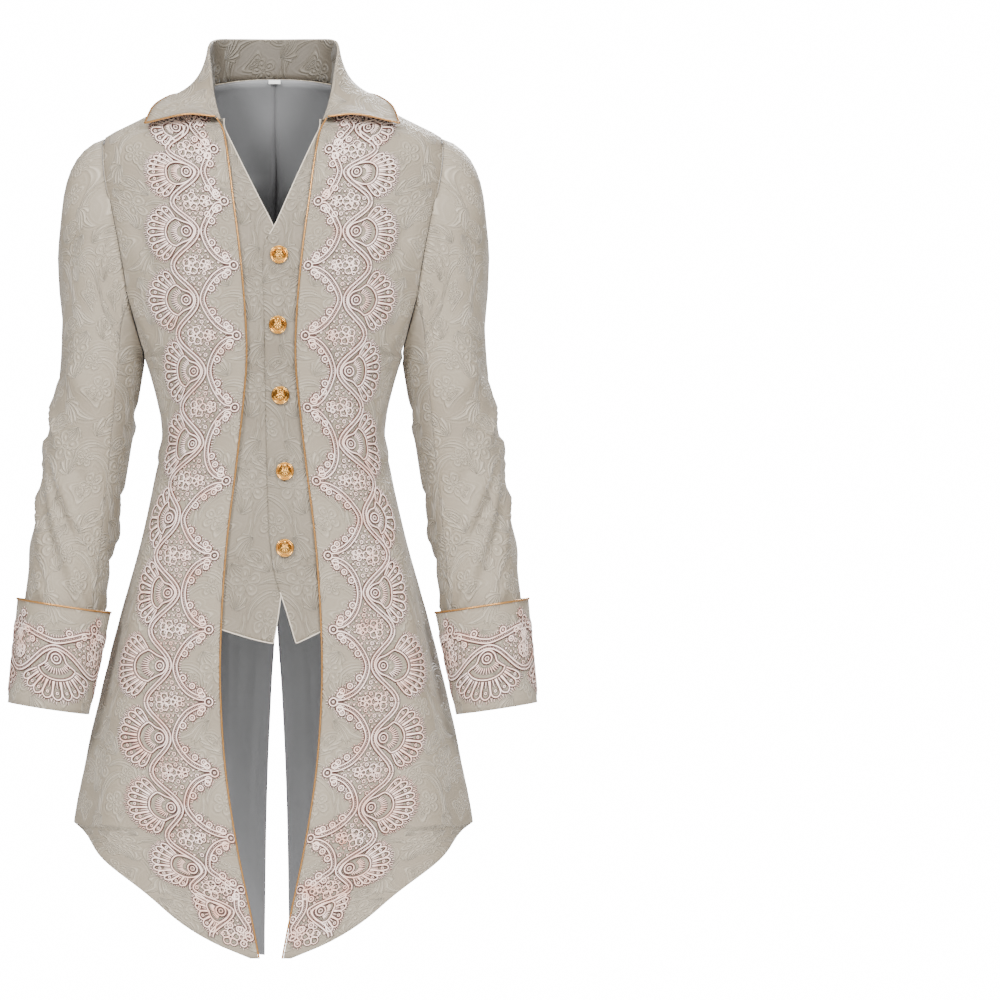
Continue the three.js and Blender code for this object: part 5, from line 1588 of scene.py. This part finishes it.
class TAILCOAT_OT_front_lace(bpy.types.Operator):
    """Strips of lace down the fronts: fans, braids, flowers and fringe made of real threads"""

    bl_idname = "tailcoat.front_lace"
    bl_label = "Front Lace"

    def execute(self, context):
        surface = SURFACES["front"]
        threads = Threads(context.scene.tailcoat_looks.thread_step)
        eyes_z = FANS["z"]
        eyes = np.array([surface.across_at(x, z) for x, z in zip(FANS["x"], eyes_z)])
        order = np.argsort(eyes_z)

        def spine(z):
            return np.interp(z, eyes_z[order], eyes[order])

        def tongue_after(i):
            if i < 0:
                return FANS["tongue"][0]
            z = (eyes_z[i] + eyes_z[min(i + 1, len(eyes) - 1)]) / 2
            x = (FANS["x"][i] + FANS["x"][min(i + 1, len(eyes) - 1)]) / 2
            return float(spine(z) - surface.across_at(x - FANS["tongue"][i], z))

        for i in range(len(eyes)):
            z = eyes_z[i]
            up = (eyes_z[i - 1] - z) / 2 if i else LACE_TOP - z
            down = (z - eyes_z[i + 1]) / 2 if i < len(eyes) - 1 else z - LACE_BOTTOM
            reach = surface.across_at(FANS["x"][i] + FANS["reach"][i], z) - eyes[i]

            def spot(a, b, z=z, up=up, down=down):
                height = z + b * (up if b > 0 else down)
                return (float(spine(height)) + a, height)

            lace_repeat(threads, spot, reach, tongue_after(i - 1), tongue_after(i), up + down, i == 0)
        for side in SIDES:
            piece = laid(f"lace_threads_front_{side}", threads, surface, side, [f"lace_front_{side}"],
                         FRONT_LACE_CUT)
        return {"FINISHED"}


class TAILCOAT_OT_cuff_lace(bpy.types.Operator):
    """Lace round the cuffs, with its fans pointing down"""

    bl_idname = "tailcoat.cuff_lace"
    bl_label = "Cuff Lace"

    def execute(self, context):
        surface = SURFACES["cuff"]
        threads = Threads(context.scene.tailcoat_looks.thread_step)
        pitch = (surface.across[CUFF_LACE_ROW, -1] - 2 * CUFF_LACE_MARGIN) / CUFF_FANS
        for i in range(CUFF_FANS):
            middle = CUFF_LACE_MARGIN + pitch * (i + 0.5)

            def spot(a, b, middle=middle):
                return (middle + b * pitch / 2, CUFF_EYE_HEIGHT - a)

            lace_repeat(threads, spot, CUFF_FAN_REACH, CUFF_TONGUE, CUFF_TONGUE, pitch, i == 0)
        for side in SIDES:
            piece = laid(f"lace_threads_cuff_{side}", threads, surface, side,
                         [f"lace_cuff_front_{side}", f"lace_cuff_back_{side}"], CUFF_LACE_CUT)
        return {"FINISHED"}


# Stage

def area_light(name, place, size, power):
    """A round soft light that points at the coat."""
    light = bpy.data.lights.new(name, "AREA")
    light.shape = "DISK"
    light.size = size
    light.energy = power
    lamp = bpy.data.objects.new(name, light)
    bpy.context.scene.collection.objects.link(lamp)
    lamp.location = place
    lamp.rotation_euler = (Vector(LIGHTS_AIM) - Vector(place)).to_track_quat("-Z", "Y").to_euler()


# The photograph's scale, the middle of the neck base in it and the middle of its frame, in pixels
PIXEL, PHOTO_NECK, PHOTO_MIDDLE = 0.00125, (273.5, 77), 500
CAMERA_DISTANCE, LENS, SENSOR = 10.4167, 300, 36
FLOOR_HEIGHT, FLOOR_RADIUS = -1.42, 3.0
FILL_STRENGTH, BACKDROP_STRENGTH = 0.22, 16.0
LIGHTS_AIM = (0, 0, -0.5)
LIGHTS = {
    "left": {"place": (-2.2, -4.0, 2.2), "size": 1.5, "power": 345},
    "right": {"place": (2.3, -4.0, 1.8), "size": 1.7, "power": 295},
    "front": {"place": (0.2, -5.0, 0.3), "size": 2.0, "power": 55},
    "top": {"place": (0, -0.6, 3.2), "size": 2.0, "power": 110},
    "back": {"place": (1.6, 4.4, 2.2), "size": 1.8, "power": 320},
}


class TAILCOAT_OT_stage(bpy.types.Operator):
    """Camera square to the front, a pale floor and soft studio light"""

    bl_idname = "tailcoat.stage"
    bl_label = "Stage"

    def execute(self, context):
        lens = bpy.data.cameras.new("Camera")
        lens.lens = LENS
        lens.sensor_width = SENSOR
        lens.clip_end = 100
        camera = bpy.data.objects.new("Camera", lens)
        context.scene.collection.objects.link(camera)
        camera.location = ((PHOTO_MIDDLE - PHOTO_NECK[0]) * PIXEL, -CAMERA_DISTANCE,
                           (PHOTO_NECK[1] - PHOTO_MIDDLE) * PIXEL)
        camera.rotation_euler = (pi / 2, 0, 0)
        context.scene.camera = camera

        shell = bmesh.new()
        bmesh.ops.create_circle(shell, cap_ends=True, segments=64, radius=FLOOR_RADIUS)
        bmesh.ops.translate(shell, vec=(0, 0, FLOOR_HEIGHT), verts=shell.verts)
        mesh = bpy.data.meshes.new("floor")
        shell.to_mesh(mesh)
        shell.free()
        floor = bpy.data.objects.new("floor", mesh)
        context.scene.collection.objects.link(floor)
        mesh.materials.append(finish("floor"))

        world = context.scene.world or bpy.data.worlds.new("World")
        context.scene.world = world
        world.use_nodes = True
        tree = world.node_tree
        background = tree.nodes["Background"]
        background.inputs["Color"].default_value = (1, 1, 1, 1)
        rays = tree.nodes.new("ShaderNodeLightPath")
        strength = tree.nodes.new("ShaderNodeMapRange")
        strength.inputs["To Min"].default_value = FILL_STRENGTH
        strength.inputs["To Max"].default_value = BACKDROP_STRENGTH
        tree.links.new(rays.outputs["Is Camera Ray"], strength.inputs["Value"])
        tree.links.new(strength.outputs[0], background.inputs["Strength"])

        for name, light in LIGHTS.items():
            area_light(name, **light)
        return {"FINISHED"}


OPERATORS = [
    TAILCOAT_OT_stage, TAILCOAT_OT_body, TAILCOAT_OT_lining, TAILCOAT_OT_waistcoat, TAILCOAT_OT_sleeves,
    TAILCOAT_OT_cuffs, TAILCOAT_OT_collar, TAILCOAT_OT_front_piping, TAILCOAT_OT_buttons, TAILCOAT_OT_label,
    TAILCOAT_OT_front_lace, TAILCOAT_OT_cuff_lace,
]


class TAILCOAT_PT_panel(bpy.types.Panel):
    """The coat's sizes, colours and pieces"""

    bl_idname = "TAILCOAT_PT_panel"
    bl_label = "Brocade Tailcoat"
    bl_space_type = "VIEW_3D"
    bl_region_type = "UI"
    bl_category = "Tailcoat"

    def draw(self, context):
        looks = context.scene.tailcoat_looks
        sizes = self.layout.column()
        for name in TailcoatLooks.__annotations__:
            sizes.prop(looks, name)
        pieces = self.layout.column()
        for operator in OPERATORS:
            pieces.operator(operator.bl_idname)


CLASSES = [TailcoatLooks, *OPERATORS, TAILCOAT_PT_panel]


def register():
    for cls in CLASSES:
        bpy.utils.register_class(cls)
    bpy.types.Scene.tailcoat_looks = PointerProperty(type=TailcoatLooks)


def unregister():
    del bpy.types.Scene.tailcoat_looks
    for cls in reversed(CLASSES):
        bpy.utils.unregister_class(cls)


def main():
    register()
    for operator in OPERATORS:
        group, name = operator.bl_idname.split(".")
        getattr(getattr(bpy.ops, group), name)()


if __name__ == "__main__":
    main()
